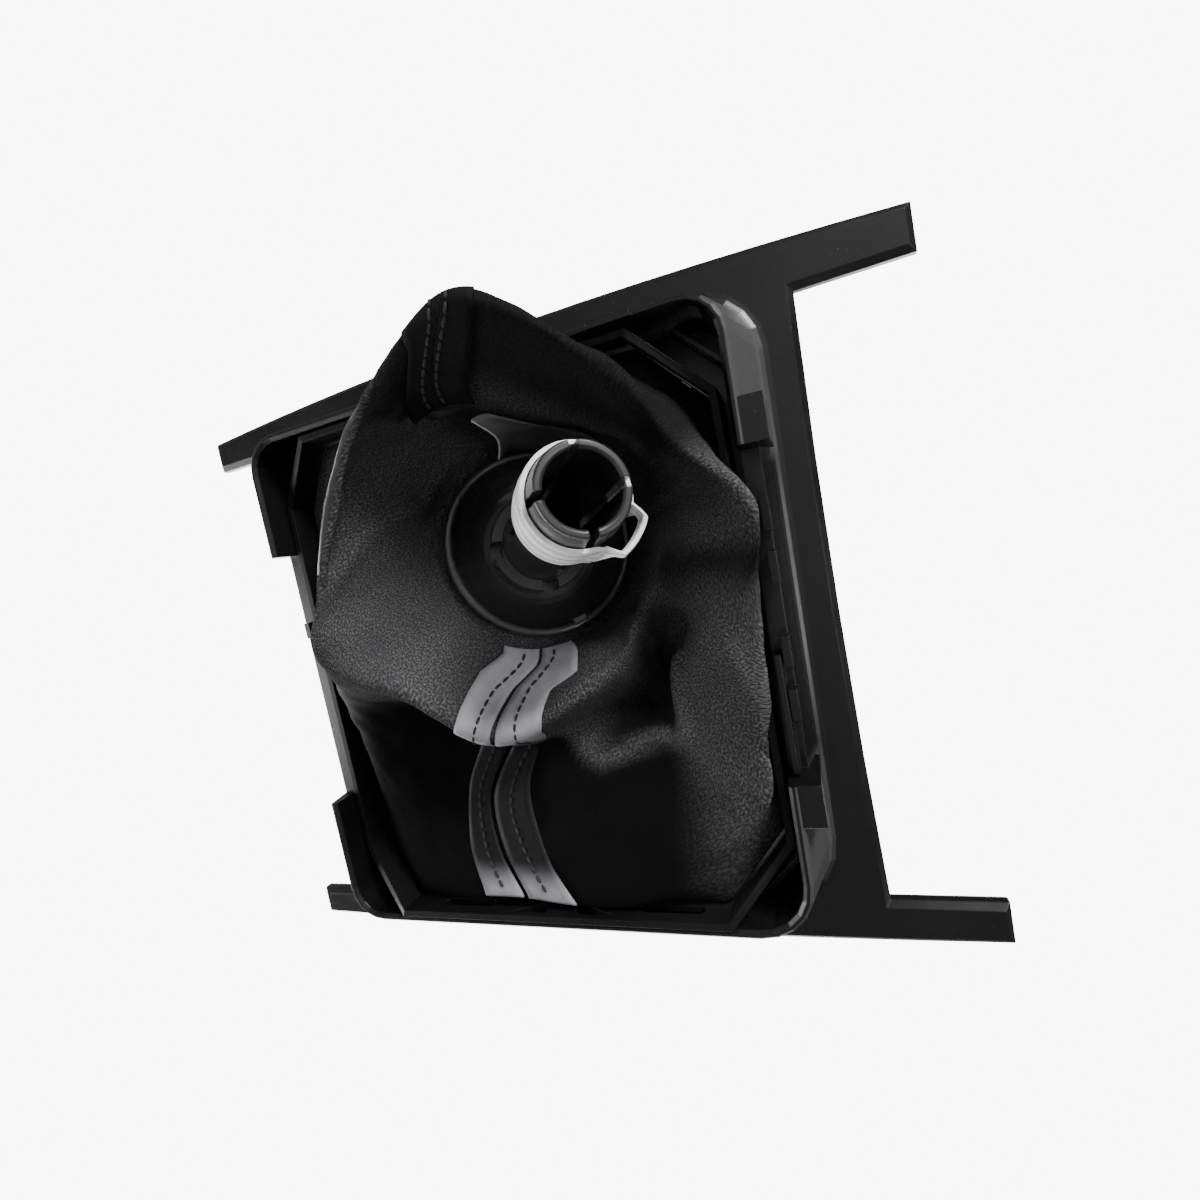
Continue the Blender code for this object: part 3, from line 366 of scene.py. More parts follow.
def grain_group():
    """Height of leather grain: small cells with creased borders, from object coordinates."""
    n, start, end = new_group("leather_grain", (("Vector", VECTOR, None), ("Scale", FLOAT, 700.0)),
                              (("Height", FLOAT), ("Patch", FLOAT)))
    cells = n.add("ShaderNodeTexVoronoi", feature="SMOOTH_F1")
    n.link(start.outputs["Vector"], cells.inputs["Vector"])
    n.link(start.outputs["Scale"], cells.inputs["Scale"])
    fine = n.noise(start.outputs["Vector"], 1500.0, 3.0)
    n.link(n.math("ADD", n.math("MULTIPLY", cells.outputs["Distance"], 0.7), n.math("MULTIPLY", fine, 0.3)),
           end.inputs["Height"])
    n.link(n.noise(start.outputs["Vector"], 60.0, 4.0), end.inputs["Patch"])
    return n.tree


def moulded_group():
    """Fine orange peel, handling marks and dust of moulded plastic, from object coordinates."""
    n, start, end = new_group("moulded_plastic", (("Vector", VECTOR, None), ("Peel", FLOAT, 900.0)),
                              (("Height", FLOAT), ("Marks", FLOAT), ("Dust", FLOAT)))
    peel = n.add("ShaderNodeTexNoise")
    n.link(start.outputs["Vector"], peel.inputs["Vector"])
    n.link(start.outputs["Peel"], peel.inputs["Scale"])
    peel.inputs["Detail"].default_value = 3.0
    n.link(peel.outputs["Fac"], end.inputs["Height"])
    marks = n.noise(start.outputs["Vector"], 45.0, 6.0, 0.65)
    n.link(n.spread(marks, 0.35, 0.7, 0.0, 1.0), end.inputs["Marks"])
    specks = n.noise(start.outputs["Vector"], 1300.0, 1.0)
    n.link(n.spread(specks, 0.74, 0.80, 0.0, 1.0), end.inputs["Dust"])
    return n.tree


GROUPS = {"knit": knit_group(), "grain": grain_group(), "moulded": moulded_group()}


def start_material(name):
    material = bpy.data.materials.new(name)
    material.use_nodes = True
    n = Nodes(material.node_tree)
    shader = material.node_tree.nodes["Principled BSDF"]
    place = n.add("ShaderNodeTexCoord").outputs["Object"]
    return material, n, shader, place


def use_group(n, key, vector, **values):
    node = n.add("ShaderNodeGroup")
    node.node_tree = GROUPS[key]
    n.link(vector, node.inputs["Vector"])
    for name, value in values.items():
        node.inputs[name].default_value = value
    return node.outputs


def plastic(name, colour, light, rough, bump=0.10, specular=0.35, dust=0.25, marks=0.6, painted_tab_light=0.0):
    """Moulded plastic; painted_tab_light paints light as a paler black onto the outward faces of the right
    wall's tall tabs.
    """
    material, n, shader, place = start_material(name)
    moulded = use_group(n, "moulded", place)
    tone = n.mix(n.math("MULTIPLY", moulded["Marks"], marks), colour, light)
    if painted_tab_light:
        where = n.add("ShaderNodeSeparateXYZ")
        n.link(place, where.inputs[0])
        face = n.add("ShaderNodeSeparateXYZ")
        n.link(n.add("ShaderNodeNewGeometry").outputs["Normal"], face.inputs[0])
        wall = n.math("MULTIPLY", n.spread(where.outputs["X"], 0.050, 0.053, 0.0, 1.0),
                      n.spread(where.outputs["X"], 0.0635, 0.0655, 1.0, 0.0))
        tabs = n.math("ADD", n.spread(where.outputs["Y"], -0.033, -0.037, 0.0, 1.0),
                      n.spread(where.outputs["Y"], 0.028, 0.032, 0.0, 1.0))
        outward = n.spread(face.outputs["X"], 0.35, 0.75, 0.0, painted_tab_light)
        # painted light on the outward faces of the right wall's tall tabs
        tone = n.mix(n.math("MULTIPLY", n.math("MULTIPLY", wall, tabs), outward), tone, (0.045, 0.045, 0.046))
    dusty = n.mix(n.math("MULTIPLY", moulded["Dust"], dust), tone, (0.20, 0.20, 0.20))
    n.link(dusty, shader.inputs["Base Color"])
    n.link(n.spread(moulded["Marks"], 0, 1, rough, rough + 0.16 * marks), shader.inputs["Roughness"])
    shader.inputs["Specular IOR Level"].default_value = specular
    bevel = n.add("ShaderNodeBevel", samples=4)
    bevel.inputs["Radius"].default_value = SOFT_EDGE
    n.link(n.bump(moulded["Height"], bump, 0.0002, bevel.outputs["Normal"]), shader.inputs["Normal"])
    return material


def knit_material():
    """Knitted backing: specked where it lies open, painted dark as shade and smoother where the painted_shade
    mark is high.
    """
    material, n, shader, _ = start_material("knit_backing")
    flat = n.add("ShaderNodeUVMap", uv_map="cloth").outputs["UV"]
    painted_shade = n.add("ShaderNodeAttribute", attribute_name="painted_shade").outputs["Fac"]
    knit = use_group(n, "knit", flat)
    open_knit = n.math("SUBTRACT", 1.0, n.math("MULTIPLY", painted_shade, 0.85))
    height = n.math("MULTIPLY", knit["Height"], 0.9, True)
    tone = n.mix(height, (0.004, 0.004, 0.004), (0.042, 0.0422, 0.0435))
    tone = n.mix(n.math("MULTIPLY", knit["Speck"], 0.55), tone, (0.108, 0.1085, 0.111))
    tone = n.mix(n.spread(knit["Patch"], 0.35, 0.65, 0.0, 0.30), tone, (0.022, 0.023, 0.024))
    # painted shade: the painted_shade mark mixes the knit's tone towards near black
    n.link(n.mix(painted_shade, tone, (0.0020, 0.0021, 0.0022)), shader.inputs["Base Color"])
    n.link(n.spread(painted_shade, 0.0, 1.0, 0.98, 0.84), shader.inputs["Roughness"])
    shader.inputs["Specular IOR Level"].default_value = 0.03
    n.link(n.bump(n.math("MULTIPLY", knit["Height"], open_knit), 0.9, 0.00035), shader.inputs["Normal"])
    return material


def leather_material(name, colour, rough):
    material, n, shader, place = start_material(name)
    grain = use_group(n, "grain", place)
    n.link(n.mix(n.math("MULTIPLY", grain["Patch"], 0.6), colour, (0.022, 0.022, 0.024)),
           shader.inputs["Base Color"])
    n.link(n.spread(grain["Patch"], 0.3, 0.7, rough - 0.08, rough + 0.08), shader.inputs["Roughness"])
    shader.inputs["Specular IOR Level"].default_value = 0.4
    n.link(n.bump(grain["Height"], 0.5, 0.0003), shader.inputs["Normal"])
    return material


def tape_material(name, low, high, rough, gloss):
    """Smooth vinyl strip, a little dusty, with faint creases across it, and painted shadow where its
    painted_shade mark is high.
    """
    material, n, shader, place = start_material(name)
    patch = n.noise(place, 120.0, 5.0)
    painted_shade = n.add("ShaderNodeAttribute", attribute_name="painted_shade").outputs["Fac"]
    clean = n.mix(n.spread(patch, 0.35, 0.65, 0, 1), low, high)
    # painted shadow: the painted_shade mark mixes the tape's colour towards near black
    n.link(n.mix(painted_shade, clean, (0.0025, 0.0025, 0.0028)), shader.inputs["Base Color"])
    n.link(n.spread(patch, 0.3, 0.7, rough - 0.08, rough + 0.08), shader.inputs["Roughness"])
    shader.inputs["Specular IOR Level"].default_value = gloss
    n.link(n.bump(n.noise(place, 500.0, 6.0, 0.65), 0.5, 0.00035), shader.inputs["Normal"])
    return material


def steel_material():
    """Bright plated strip with fine drawn lines round the band."""
    material, n, shader, place = start_material("plated_steel")
    turn = n.add("ShaderNodeVectorMath", operation="DOT_PRODUCT")
    n.link(place, turn.inputs[0])
    turn.inputs[1].default_value = tuple(AXIS)
    lines = n.math("SINE", n.math("MULTIPLY", turn.outputs["Value"], 3300.0))
    wear = n.noise(place, 260.0, 4.0)
    drawn = n.mix(n.spread(lines, -1.0, -0.55, 0.0, 1.0), (0.42, 0.42, 0.43), (1.0, 1.0, 1.0))
    worn = n.mix(n.spread(wear, 0.3, 0.7, 0.0, 0.5), drawn, (0.98, 0.98, 0.98))
    n.link(worn, shader.inputs["Base Color"])
    shader.inputs["Metallic"].default_value = 0.20
    n.link(n.spread(wear, 0.3, 0.7, 0.26, 0.38), shader.inputs["Roughness"])
    n.link(n.bump(lines, 0.25, 0.0001), shader.inputs["Normal"])
    return material


def chrome_material():
    material, n, shader, place = start_material("bright_chrome")
    shader.inputs["Base Color"].default_value = (0.80, 0.80, 0.81, 1)
    shader.inputs["Metallic"].default_value = 1.0
    n.link(n.spread(n.noise(place, 90.0, 5.0), 0.35, 0.7, 0.08, 0.18), shader.inputs["Roughness"])
    return material


def thread_material(name, low, high):
    material, n, shader, place = start_material(name)
    n.link(n.mix(n.noise(place, 2500.0, 2.0), low, high), shader.inputs["Base Color"])
    shader.inputs["Roughness"].default_value = 0.8
    shader.inputs["Specular IOR Level"].default_value = 0.1
    return material


# Gaiter surface, in millimetres
def curve(points, t, closed):
    """Places at t (0 to 1) on smooth curves through points, along their first axis."""
    points = np.asarray(points, float)
    count = len(points)
    spans = count if closed else count - 1
    place = np.asarray(t, float) * spans
    i = np.floor(place).astype(int)
    if not closed:
        i = np.clip(i, 0, spans - 1)
    local = (place - i).reshape((-1,) + (1,) * (points.ndim - 1))

    def pick(k):
        return points[k % count] if closed else points[np.clip(k, 0, count - 1)]

    a, b, c, d = pick(i - 1), pick(i), pick(i + 1), pick(i + 2)
    return 0.5 * (2 * b + (c - a) * local + (2 * a - 5 * b + 4 * c - d) * local ** 2
                  + (3 * b - a - 3 * c + d) * local ** 3)


SIDE = np.cross(AXIS, (0, 1, 0)) / np.linalg.norm(np.cross(AXIS, (0, 1, 0)))
UP = np.cross(AXIS, SIDE)


def on_axis(radius, angle_x, angle_y, height):
    return RING_CENTRE + SIDE * (radius * angle_x)[:, None] + UP * (radius * angle_y)[:, None] + AXIS * height


def retainer_outline():
    """The retainer's inner face where the gaiter's edge lies, as eight corners."""
    seat = SKIRT_WALL + SNAP_GAP + RETAINER_WALL + GAP + GAITER_THICKNESS / 2
    left, right, back, front = SKIRT_LEFT + seat, SKIRT_RIGHT - seat, SKIRT_BACK + seat, SKIRT_FRONT - seat
    cut = RETAINER_CORNER - (RETAINER_WALL + GAP + GAITER_THICKNESS / 2) * (2 - math.sqrt(2))
    return np.array((
        (right, front - cut, EDGE_SIDE), (right - cut, front, EDGE_FRONT), (left + cut, front, EDGE_FRONT),
        (left, front - cut, EDGE_SIDE), (left, back + cut, EDGE_SIDE), (left + cut, back, EDGE_BACK),
        (right - cut, back, EDGE_BACK), (right, back + cut, EDGE_SIDE),
    ))


def edge_points(directions):
    """Where rays from the retainer's middle meet its outline."""
    plan = retainer_outline()
    middle = plan.mean(0)
    found = []
    for dx, dy in directions:
        for a, b in zip(plan, np.roll(plan, -1, 0)):
            ex, ey = b[0] - a[0], b[1] - a[1]
            across = dx * ey - dy * ex
            if abs(across) < 1e-12:
                continue
            reach = ((a[0] - middle[0]) * ey - (a[1] - middle[1]) * ex) / across
            share = ((a[0] - middle[0]) * dy - (a[1] - middle[1]) * dx) / across
            if reach > 0 and -1e-9 <= share <= 1 + 1e-9:
                found.append(a + (b - a) * share)
                break
    return np.array(found)


def sections(around):
    """Control sections of the gaiter at places around: an array (around, 10, 3)."""
    around = np.asarray(around, float) % 1.0
    controls = curve(RIBS, around, True)
    off = controls[:, 0] - RING_CENTRE
    x, y = off @ SIDE, off @ UP
    long = np.hypot(x, y)
    hem = on_axis(np.full_like(x, HEM_RADIUS), x / long, y / long, -HEM_PLACE)
    lip = on_axis(np.full_like(x, RING_RADIUS + LIP_CLEAR), x / long, y / long, -HEM_PLACE * 0.7)
    edge = edge_points(controls[:, -1, :2])
    return np.concatenate((hem[:, None], lip[:, None], controls, edge[:, None]), axis=1)


def surface(around, along):
    """Points of the gaiter's middle surface for matching arrays of places."""
    around, along = np.broadcast_arrays(np.asarray(around, float), np.asarray(along, float))
    flat_around, flat_along = around.ravel(), along.ravel()
    keys, back = np.unique(np.round(flat_around % 1.0, 9), return_inverse=True)
    stations = sections(keys)[back]
    place = flat_along * SPANS
    i = np.clip(np.floor(place).astype(int), 0, SPANS - 1)
    local = (place - i)[:, None]
    rows = np.arange(len(i))
    a, b = stations[rows, np.clip(i - 1, 0, SPANS)], stations[rows, i]
    c, d = stations[rows, i + 1], stations[rows, np.clip(i + 2, 0, SPANS)]
    points = 0.5 * (2 * b + (c - a) * local + (2 * a - 5 * b + 4 * c - d) * local ** 2
                    + (3 * b - a - 3 * c + d) * local ** 3)
    return points.reshape(around.shape + (3,))


def facing(around, along):
    """Unit directions off the surface, towards the backing."""
    step = 0.004
    run = surface(around, np.clip(along + step, 0, 1)) - surface(around, np.clip(along - step, 0, 1))
    turn = surface(around + step, along) - surface(around - step, along)
    side = np.cross(turn, run)
    return side / np.linalg.norm(side, axis=-1, keepdims=True)


def finished(name, bm, material, smooth=True):
    """A piece of the scene from a bmesh in metres."""
    mesh = bpy.data.meshes.new(name)
    bm.to_mesh(mesh)
    bm.free()
    if smooth:
        mesh.shade_smooth()
    if material is not None:
        mesh.materials.append(material)
    piece = bpy.data.objects.new(name, mesh)
    bpy.context.collection.objects.link(piece)
    return piece


def grid_object(name, points, materials, thickness, closed=False, flat=None, painted_shade=None):
    """A grid sheet whose vertices are laid on rows of points in millimetres, then thickened."""
    rows, columns = points.shape[:2]
    bm = bmesh.new()
    # optional vertex mark of painted shade, read by the knit and tape materials
    mark = bm.verts.layers.float.new("painted_shade") if painted_shade is not None else None
    layer = bm.loops.layers.uv.new("cloth") if flat is not None else None
    bmesh.ops.create_grid(bm, x_segments=rows - 1, y_segments=columns - 1, size=0.5)
    place = {vert: (round((vert.co.x + 0.5) * (rows - 1)), round((vert.co.y + 0.5) * (columns - 1)))
             for vert in bm.verts}
    for vert, (i, j) in place.items():
        vert.co = Vector(points[i, j]) * MM
        if mark is not None:
            vert[mark] = painted_shade[i, j]
    if layer is not None:
        for face in bm.faces:
            for loop in face.loops:
                loop[layer].uv = flat[place[loop.vert]]
    if closed:
        seam = [vert for vert, (i, j) in place.items() if i in (0, rows - 1)]
        bmesh.ops.remove_doubles(bm, verts=seam, dist=1e-6)
    piece = finished(name, bm, materials[0])
    for material in materials[1:]:
        piece.data.materials.append(material)
    wall = piece.modifiers.new("thickness", "SOLIDIFY")
    wall.thickness = thickness * MM
    wall.offset = 0.0
    if len(materials) > 1:
        wall.material_offset = 1
        wall.material_offset_rim = 0
    return piece


def flat_places(points):
    """Cloth coordinates in millimetres, from the lengths of the grid's own lines."""
    run = np.linalg.norm(np.diff(points, axis=1), axis=2)
    along = np.concatenate((np.zeros((len(points), 1)), np.cumsum(run, axis=1)), axis=1)
    turn = np.linalg.norm(np.diff(points, axis=0), axis=2).mean(axis=1)
    around = np.concatenate(([0.0], np.cumsum(turn)))
    return np.stack(np.broadcast_arrays(around[:, None], along), axis=-1)


def smooth_noise(points, scale, seed):
    """Soft random waves from a few fixed directions, about -1 to 1."""
    picks = np.random.default_rng(seed)
    total = np.zeros(points.shape[:-1])
    for _ in range(7):
        direction = picks.normal(size=3)
        direction /= np.linalg.norm(direction)
        waves = math.tau / (scale * picks.uniform(0.7, 1.5))
        total += np.sin(points @ direction * waves + picks.uniform(0, math.tau))
    return total / 4.0


def smooth_step(value, low, high):
    share = np.clip((value - low) / (high - low), 0, 1)
    return share * share * (3 - 2 * share)


def chain_distance(points, chain):
    """Distance from each point to a chain of points."""
    best = np.full(points.shape[:-1], 1e9)
    for a, b in zip(chain, chain[1:]):
        run = b - a
        share = np.clip(((points - a) @ run) / (run @ run), 0, 1)
        best = np.minimum(best, np.linalg.norm(points - (a + share[..., None] * run), axis=-1))
    return best


def collar_side(around, along):
    """Signed distance in millimetres from the collar's crease, positive on its upper side."""
    turn = (around + 0.5) % 1.0 - 0.5
    x, y = turn * CLOTH_ROUND, along * CLOTH_RUN
    best = np.full(around.shape, 1e9)
    signed = np.full(around.shape, -1e9)
    for (a0, l0), (a1, l1) in zip(COLLAR_CREASE, COLLAR_CREASE[1:]):
        px, py = a0 * CLOTH_ROUND, l0 * CLOTH_RUN
        rx, ry = (a1 - a0) * CLOTH_ROUND, (l1 - l0) * CLOTH_RUN
        share = np.clip(((x - px) * rx + (y - py) * ry) / (rx * rx + ry * ry), 0, 1)
        off = np.hypot(x - px - share * rx, y - py - share * ry)
        side = -np.sign(rx * (y - py) - ry * (x - px))
        signed = np.where(off < best, off * side, signed)
        best = np.minimum(best, off)
    return signed


def painted_shade_marks(plain, turn, l, upper):
    """Painted shade on the knit, from 0 to 1, which also makes it smoother: on the bulge's side that faces
    away from the key lamp, above the collar's crease, as the shadow that the fold casts below it, in the
    hollow beside the tape and along the painted shades."""
    # painted shade on the bulge's side that faces away from the key lamp
    bulge = 0.92 * smooth_step(turn, 0.24, 0.34) * smooth_step(turn, 0.64, 0.58) * smooth_step(l, 0.30, 0.38)
    # weak painted shade above the collar's crease, where the cloth turns from the light
    collar = smooth_step(upper, -0.5, 1.8) * smooth_step(turn, 0.10, 0.16) * smooth_step(turn, 0.66, 0.60)
    # painted shadow that the collar's fold casts on the panel below it
    fold = 0.54 + 0.130 * smooth_step(turn, 0.98, 0.94) * smooth_step(turn, 0.70, 0.76)
    ends = np.maximum(smooth_step(turn, 0.83, 0.90), smooth_step(turn, 0.24, 0.16))
    under_fold = smooth_step(l, fold - 0.015, fold + 0.02) * ends
    # painted shade in the hollow beside the front tape
    hollow = 0.85 * smooth_step(l, 0.50, 0.57) * smooth_step(l, 0.662, 0.640)
    hollow = hollow * smooth_step(turn, 0.73, 0.80) * smooth_step(turn, 0.955, 0.93)
    # painted shade along the lines of PAINTED_SHADES
    shade = 0.0
    for depth, width, line in PAINTED_SHADES:
        places = np.array(line)
        chain = surface(places[:, 0], places[:, 1])
        shade = np.maximum(shade, depth * np.exp(-(chain_distance(plain, chain) / width) ** 2))
    return np.clip(np.maximum.reduce((bulge, collar * 0.15, under_fold, hollow, shade)), 0, 1)


def gaiter_points():
    """Places, cloth coordinates and painted shade marks of the gaiter's sheet."""
    around = np.arange(AROUND + 1) / AROUND
    along = np.linspace(0, 1, ALONG + 1)
    a, l = np.meshgrid(around, along, indexing="ij")
    plain = surface(a, l)
    side = facing(a, l)
    keep = np.clip((l - 0.10) / 0.10, 0, 1) * np.clip((0.90 - l) / 0.10, 0, 1)
    lift = (0.45 * smooth_noise(plain, 17.0, 3) + 0.20 * smooth_noise(plain, 7.0, 5)) * keep
    for height, width, line in CREASES:
        places = np.array(line)
        chain = surface(places[:, 0], places[:, 1])
        lift += height * np.exp(-(chain_distance(plain, chain) / width) ** 2) * keep
    upper = collar_side(a, l)
    fade = smooth_step(upper, 26.0, 10.0) * smooth_step(l, 0.50, 0.40) * smooth_step(l, 0.12, 0.19)
    lift -= 2.2 * (1 - np.exp(-np.clip(upper, 0, None) / 2.0)) * fade
    lift += 0.7 * np.exp(-(upper / 2.4) ** 2) * smooth_step(l, 0.42, 0.34) * smooth_step(l, 0.12, 0.17)
    raw = smooth_step(l, 0.15, 0.11) * smooth_step(l, 0.06, 0.09)
    lift += raw * 0.45 * smooth_noise(plain, 1.6, 11)
    painted_shade = painted_shade_marks(plain, a % 1.0, l, upper)
    return plain + side * lift[..., None], flat_places(plain), painted_shade


def build_gaiter(materials):
    points, flat, painted_shade = gaiter_points()
    return grid_object("gaiter", points, materials, GAITER_THICKNESS, closed=True, flat=flat, painted_shade=painted_shade)


def line_at(line, along):
    """A line's value at places along it."""
    places = np.array(line)
    return np.interp(along, places[:, 0], places[:, 1])


def strip(name, near, far, start, end, material, steps=110, across=7):
    """A flap of tape between two lines of (along, around) on the gaiter."""
    along = np.linspace(start, end, steps)
    low, high = line_at(near, along), line_at(far, along)
    share = np.linspace(0, 1, across)
    a = low[:, None] + (high - low)[:, None] * share
    l = np.repeat(along[:, None], across, 1)
    points = surface(a, l) + facing(a, l) * TAPE_LIFT
    # painted shadow of the collar's fold on the lower front tape, full from 0.56 to 0.80 along and fading to
    # a tenth by 0.885
    painted_fold_shadow = smooth_step(l, 0.50, 0.56) * (0.10 + 0.90 * smooth_step(l, 0.885, 0.80))
    return grid_object(name, points, [material], TAPE_THICKNESS, painted_shade=painted_fold_shadow)


def stitch_line(line, start, end, lift):
    """Points of a row of stitches on the gaiter, and the directions off the cloth there."""
    along = np.linspace(start, end, 160)
    a = line_at(line, along)
    side = facing(a, along)
    return surface(a, along) + side * lift, side


def stitches(name, rows, material, pitch=2.4, thread=1.9, size=0.32):
    """Short sewn threads along lines of (points, normals), each a small bent bar."""
    whole = bmesh.new()
    for line, normals in rows:
        length = np.concatenate(([0], np.cumsum(np.linalg.norm(np.diff(line, axis=0), axis=1))))
        for k in range(int(length[-1] / pitch)):
            here = k * pitch + 0.4
            start, end = (np.array([np.interp(place, length, line[:, i]) for i in range(3)])
                          for place in (here, here + thread))
            up = np.array([np.interp(here, length, normals[:, i]) for i in range(3)])
            add_thread(whole, start, end, up / np.linalg.norm(up), size)
    return finished(name, whole, material)


def add_thread(whole, start, end, up, size):
    """One sewn thread: a six-sided bar, bent a little and thin at its ends."""
    bar = bmesh.new()
    bmesh.ops.create_cone(bar, cap_ends=True, segments=6, radius1=1.0, radius2=1.0, depth=1.0)
    lengthwise = [e for e in bar.edges if abs(e.verts[0].co.z - e.verts[1].co.z) > 0.5]
    bmesh.ops.subdivide_edges(bar, edges=lengthwise, cuts=3)
    run = end - start
    ahead = run / np.linalg.norm(run)
    aside = np.cross(ahead, up)
    for vert in bar.verts:
        t = vert.co.z + 0.5
        wide = size * (0.45 + 0.55 * min(1.0, 4 * min(t, 1 - t)))
        middle = start + run * t + up * (0.14 * math.sin(math.pi * t) - 0.02)
        vert.co = Vector(middle + aside * vert.co.x * wide + up * vert.co.y * wide) * MM
    bmesh.ops.recalc_face_normals(bar, faces=bar.faces[:])
    mesh = bpy.data.meshes.new("thread")
    bar.to_mesh(mesh)
    bar.free()
    whole.from_mesh(mesh)
    bpy.data.meshes.remove(mesh)


def build_tapes(vinyl, dark_vinyl, hem_vinyl, thread, edge_highlight):
    """Seam tapes in two flaps each, the hem band with its curled end, and the stitches."""
    made = []
    for node, start, end, middle, left, right, look in (
            ("front_seam_tape", *FRONT_TAPE_RUN, FRONT_MIDDLE, FRONT_LEFT, FRONT_RIGHT, vinyl),
            ("back_seam_tape", *BACK_TAPE_RUN, BACK_MIDDLE, BACK_LEFT, BACK_RIGHT, dark_vinyl)):
        for label, far, way in (("left", left, TAPE_PARTING), ("right", right, -TAPE_PARTING)):
            near = tuple((l, a + way) for l, a in middle)
            piece = strip(f"{node}_{label}", near, far, start, end, look)
            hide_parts(node)
            made.append(piece)

    def curl(a, l):
        return TAPE_LIFT + HEM_CURL * smooth_step(a, 0.428, 0.398) ** 2

    along = np.linspace(0, 1, 14)
    around = np.linspace(HEM_BAND[0][0], HEM_BAND[-1][0], 80)
    top = line_at(HEM_BAND, around)
    l = HEM_FOOT + (top - HEM_FOOT)[:, None] * along
    a = around[:, None] + 0.010 * smooth_step(around[:, None], 0.428, 0.398) * along
    points = surface(a, l) + facing(a, l) * curl(a, l)[..., None]
    band = grid_object("hem_band", points, [hem_vinyl], TAPE_THICKNESS)
    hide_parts("hem_tape")
    made.append(band)
    edge = points[0]
    up = facing(a[0], l[0])
    # the hem band's frayed edge in pale thread; the pale colour paints the highlight along that edge
    made.append(stitches("hem_edge_highlight", [(edge, up)], edge_highlight, pitch=0.9, thread=1.25, size=0.26))
    rows = []
    lift = TAPE_LIFT + TAPE_THICKNESS / 2
    for start, end, line in SEWN_LINES:
        rows.append(stitch_line(line, start, end, lift))
    made.append(stitches("seam_stitches", rows, thread))
    return made


def on_knob(bm):
    """Moves a bmesh that is built round Z, in millimetres, onto the knob's axis."""
    turn = Matrix((SIDE, UP, AXIS)).transposed()
    for vert in bm.verts:
        vert.co = (turn @ vert.co + Vector(RING_CENTRE)) * MM


def turned(profile, steps=120):
    """A ring turned from a closed profile of (radius, height), in millimetres."""
    bm = bmesh.new()
    verts = [bm.verts.new((radius, 0, height)) for radius, height in profile]
    edges = [bm.edges.new(pair) for pair in zip(verts, verts[1:] + verts[:1])]
    bmesh.ops.spin(bm, geom=verts + edges, cent=(0, 0, 0), axis=(0, 0, 1), dvec=(0, 0, 0),
                   angle=math.tau, steps=steps, use_merge=True, use_duplicate=False)
    bmesh.ops.remove_doubles(bm, verts=bm.verts[:], dist=1e-4)
    bmesh.ops.recalc_face_normals(bm, faces=bm.faces[:])
    return bm


def carve(piece, cutter):
    """Cuts one piece with another, which is then removed."""
    cut = piece.modifiers.new("cut", "BOOLEAN")
    cut.operation = "DIFFERENCE"
    cut.object = cutter
    cut.solver = "EXACT"
    graph = bpy.context.evaluated_depsgraph_get()
    result = bpy.data.meshes.new_from_object(piece.evaluated_get(graph))
    piece.modifiers.clear()
    old = piece.data
    piece.data = result
    bpy.data.meshes.remove(old)
    bpy.data.objects.remove(cutter)


def build_sleeve(material):
    """Slotted lever sleeve with tapered finger tips and a notched foot."""
    profile = [
        (SLEEVE_BORE, SLEEVE_TAIL), (SLEEVE_OUTER, SLEEVE_TAIL), (SLEEVE_OUTER, FOOT_LOW),
        (FOOT_RADIUS, FOOT_LOW), (FOOT_RADIUS, 0.3), (11.9, FOOT_HIGH),
        (SLEEVE_OUTER + 0.3, FOOT_HIGH), (SLEEVE_OUTER, 1.0), (SLEEVE_OUTER, SLEEVE_TIP - 4.4),
        (SLEEVE_OUTER - 0.35, SLEEVE_TIP - 3.4), (SLEEVE_BORE + 1.7, SLEEVE_TIP - 0.35),
        (SLEEVE_BORE + 1.35, SLEEVE_TIP), (SLEEVE_BORE + 0.5, SLEEVE_TIP), (SLEEVE_BORE, SLEEVE_TIP - 0.5),
    ]
    bm = turned(profile)
    on_knob(bm)
    piece = finished("lever_sleeve_fingers", bm, material, smooth=False)
    cutter = bmesh.new()
    slot, notch = SLOT_WIDTH / 2, NOTCH_WIDTH / 2
    for i in range(FINGERS):
        turn = Matrix.Rotation(math.tau * i / FINGERS, 4, "Z")
        for low, high in (((4.0, -slot, SLEEVE_TIP - SLOT_DEPTH), (12.0, slot, SLEEVE_TIP + 2)),
                          ((SLEEVE_OUTER + 0.25, -notch, -5.2), (14.0, notch, 2.0))):
            box = bmesh.ops.create_cube(cutter, size=1.0)["verts"]
            for vert in box:
                middle = [(p + q) / 2 for p, q in zip(low, high)]
                reach = [q - p for p, q in zip(low, high)]
                vert.co = turn @ Vector([m + c * r for m, c, r in zip(middle, vert.co, reach)])
    on_knob(cutter)
    carve(piece, finished("guide_slots", cutter, None, smooth=False))
    piece.data.shade_smooth()
    piece.data.set_sharp_from_angle(angle=math.radians(32))
    return piece


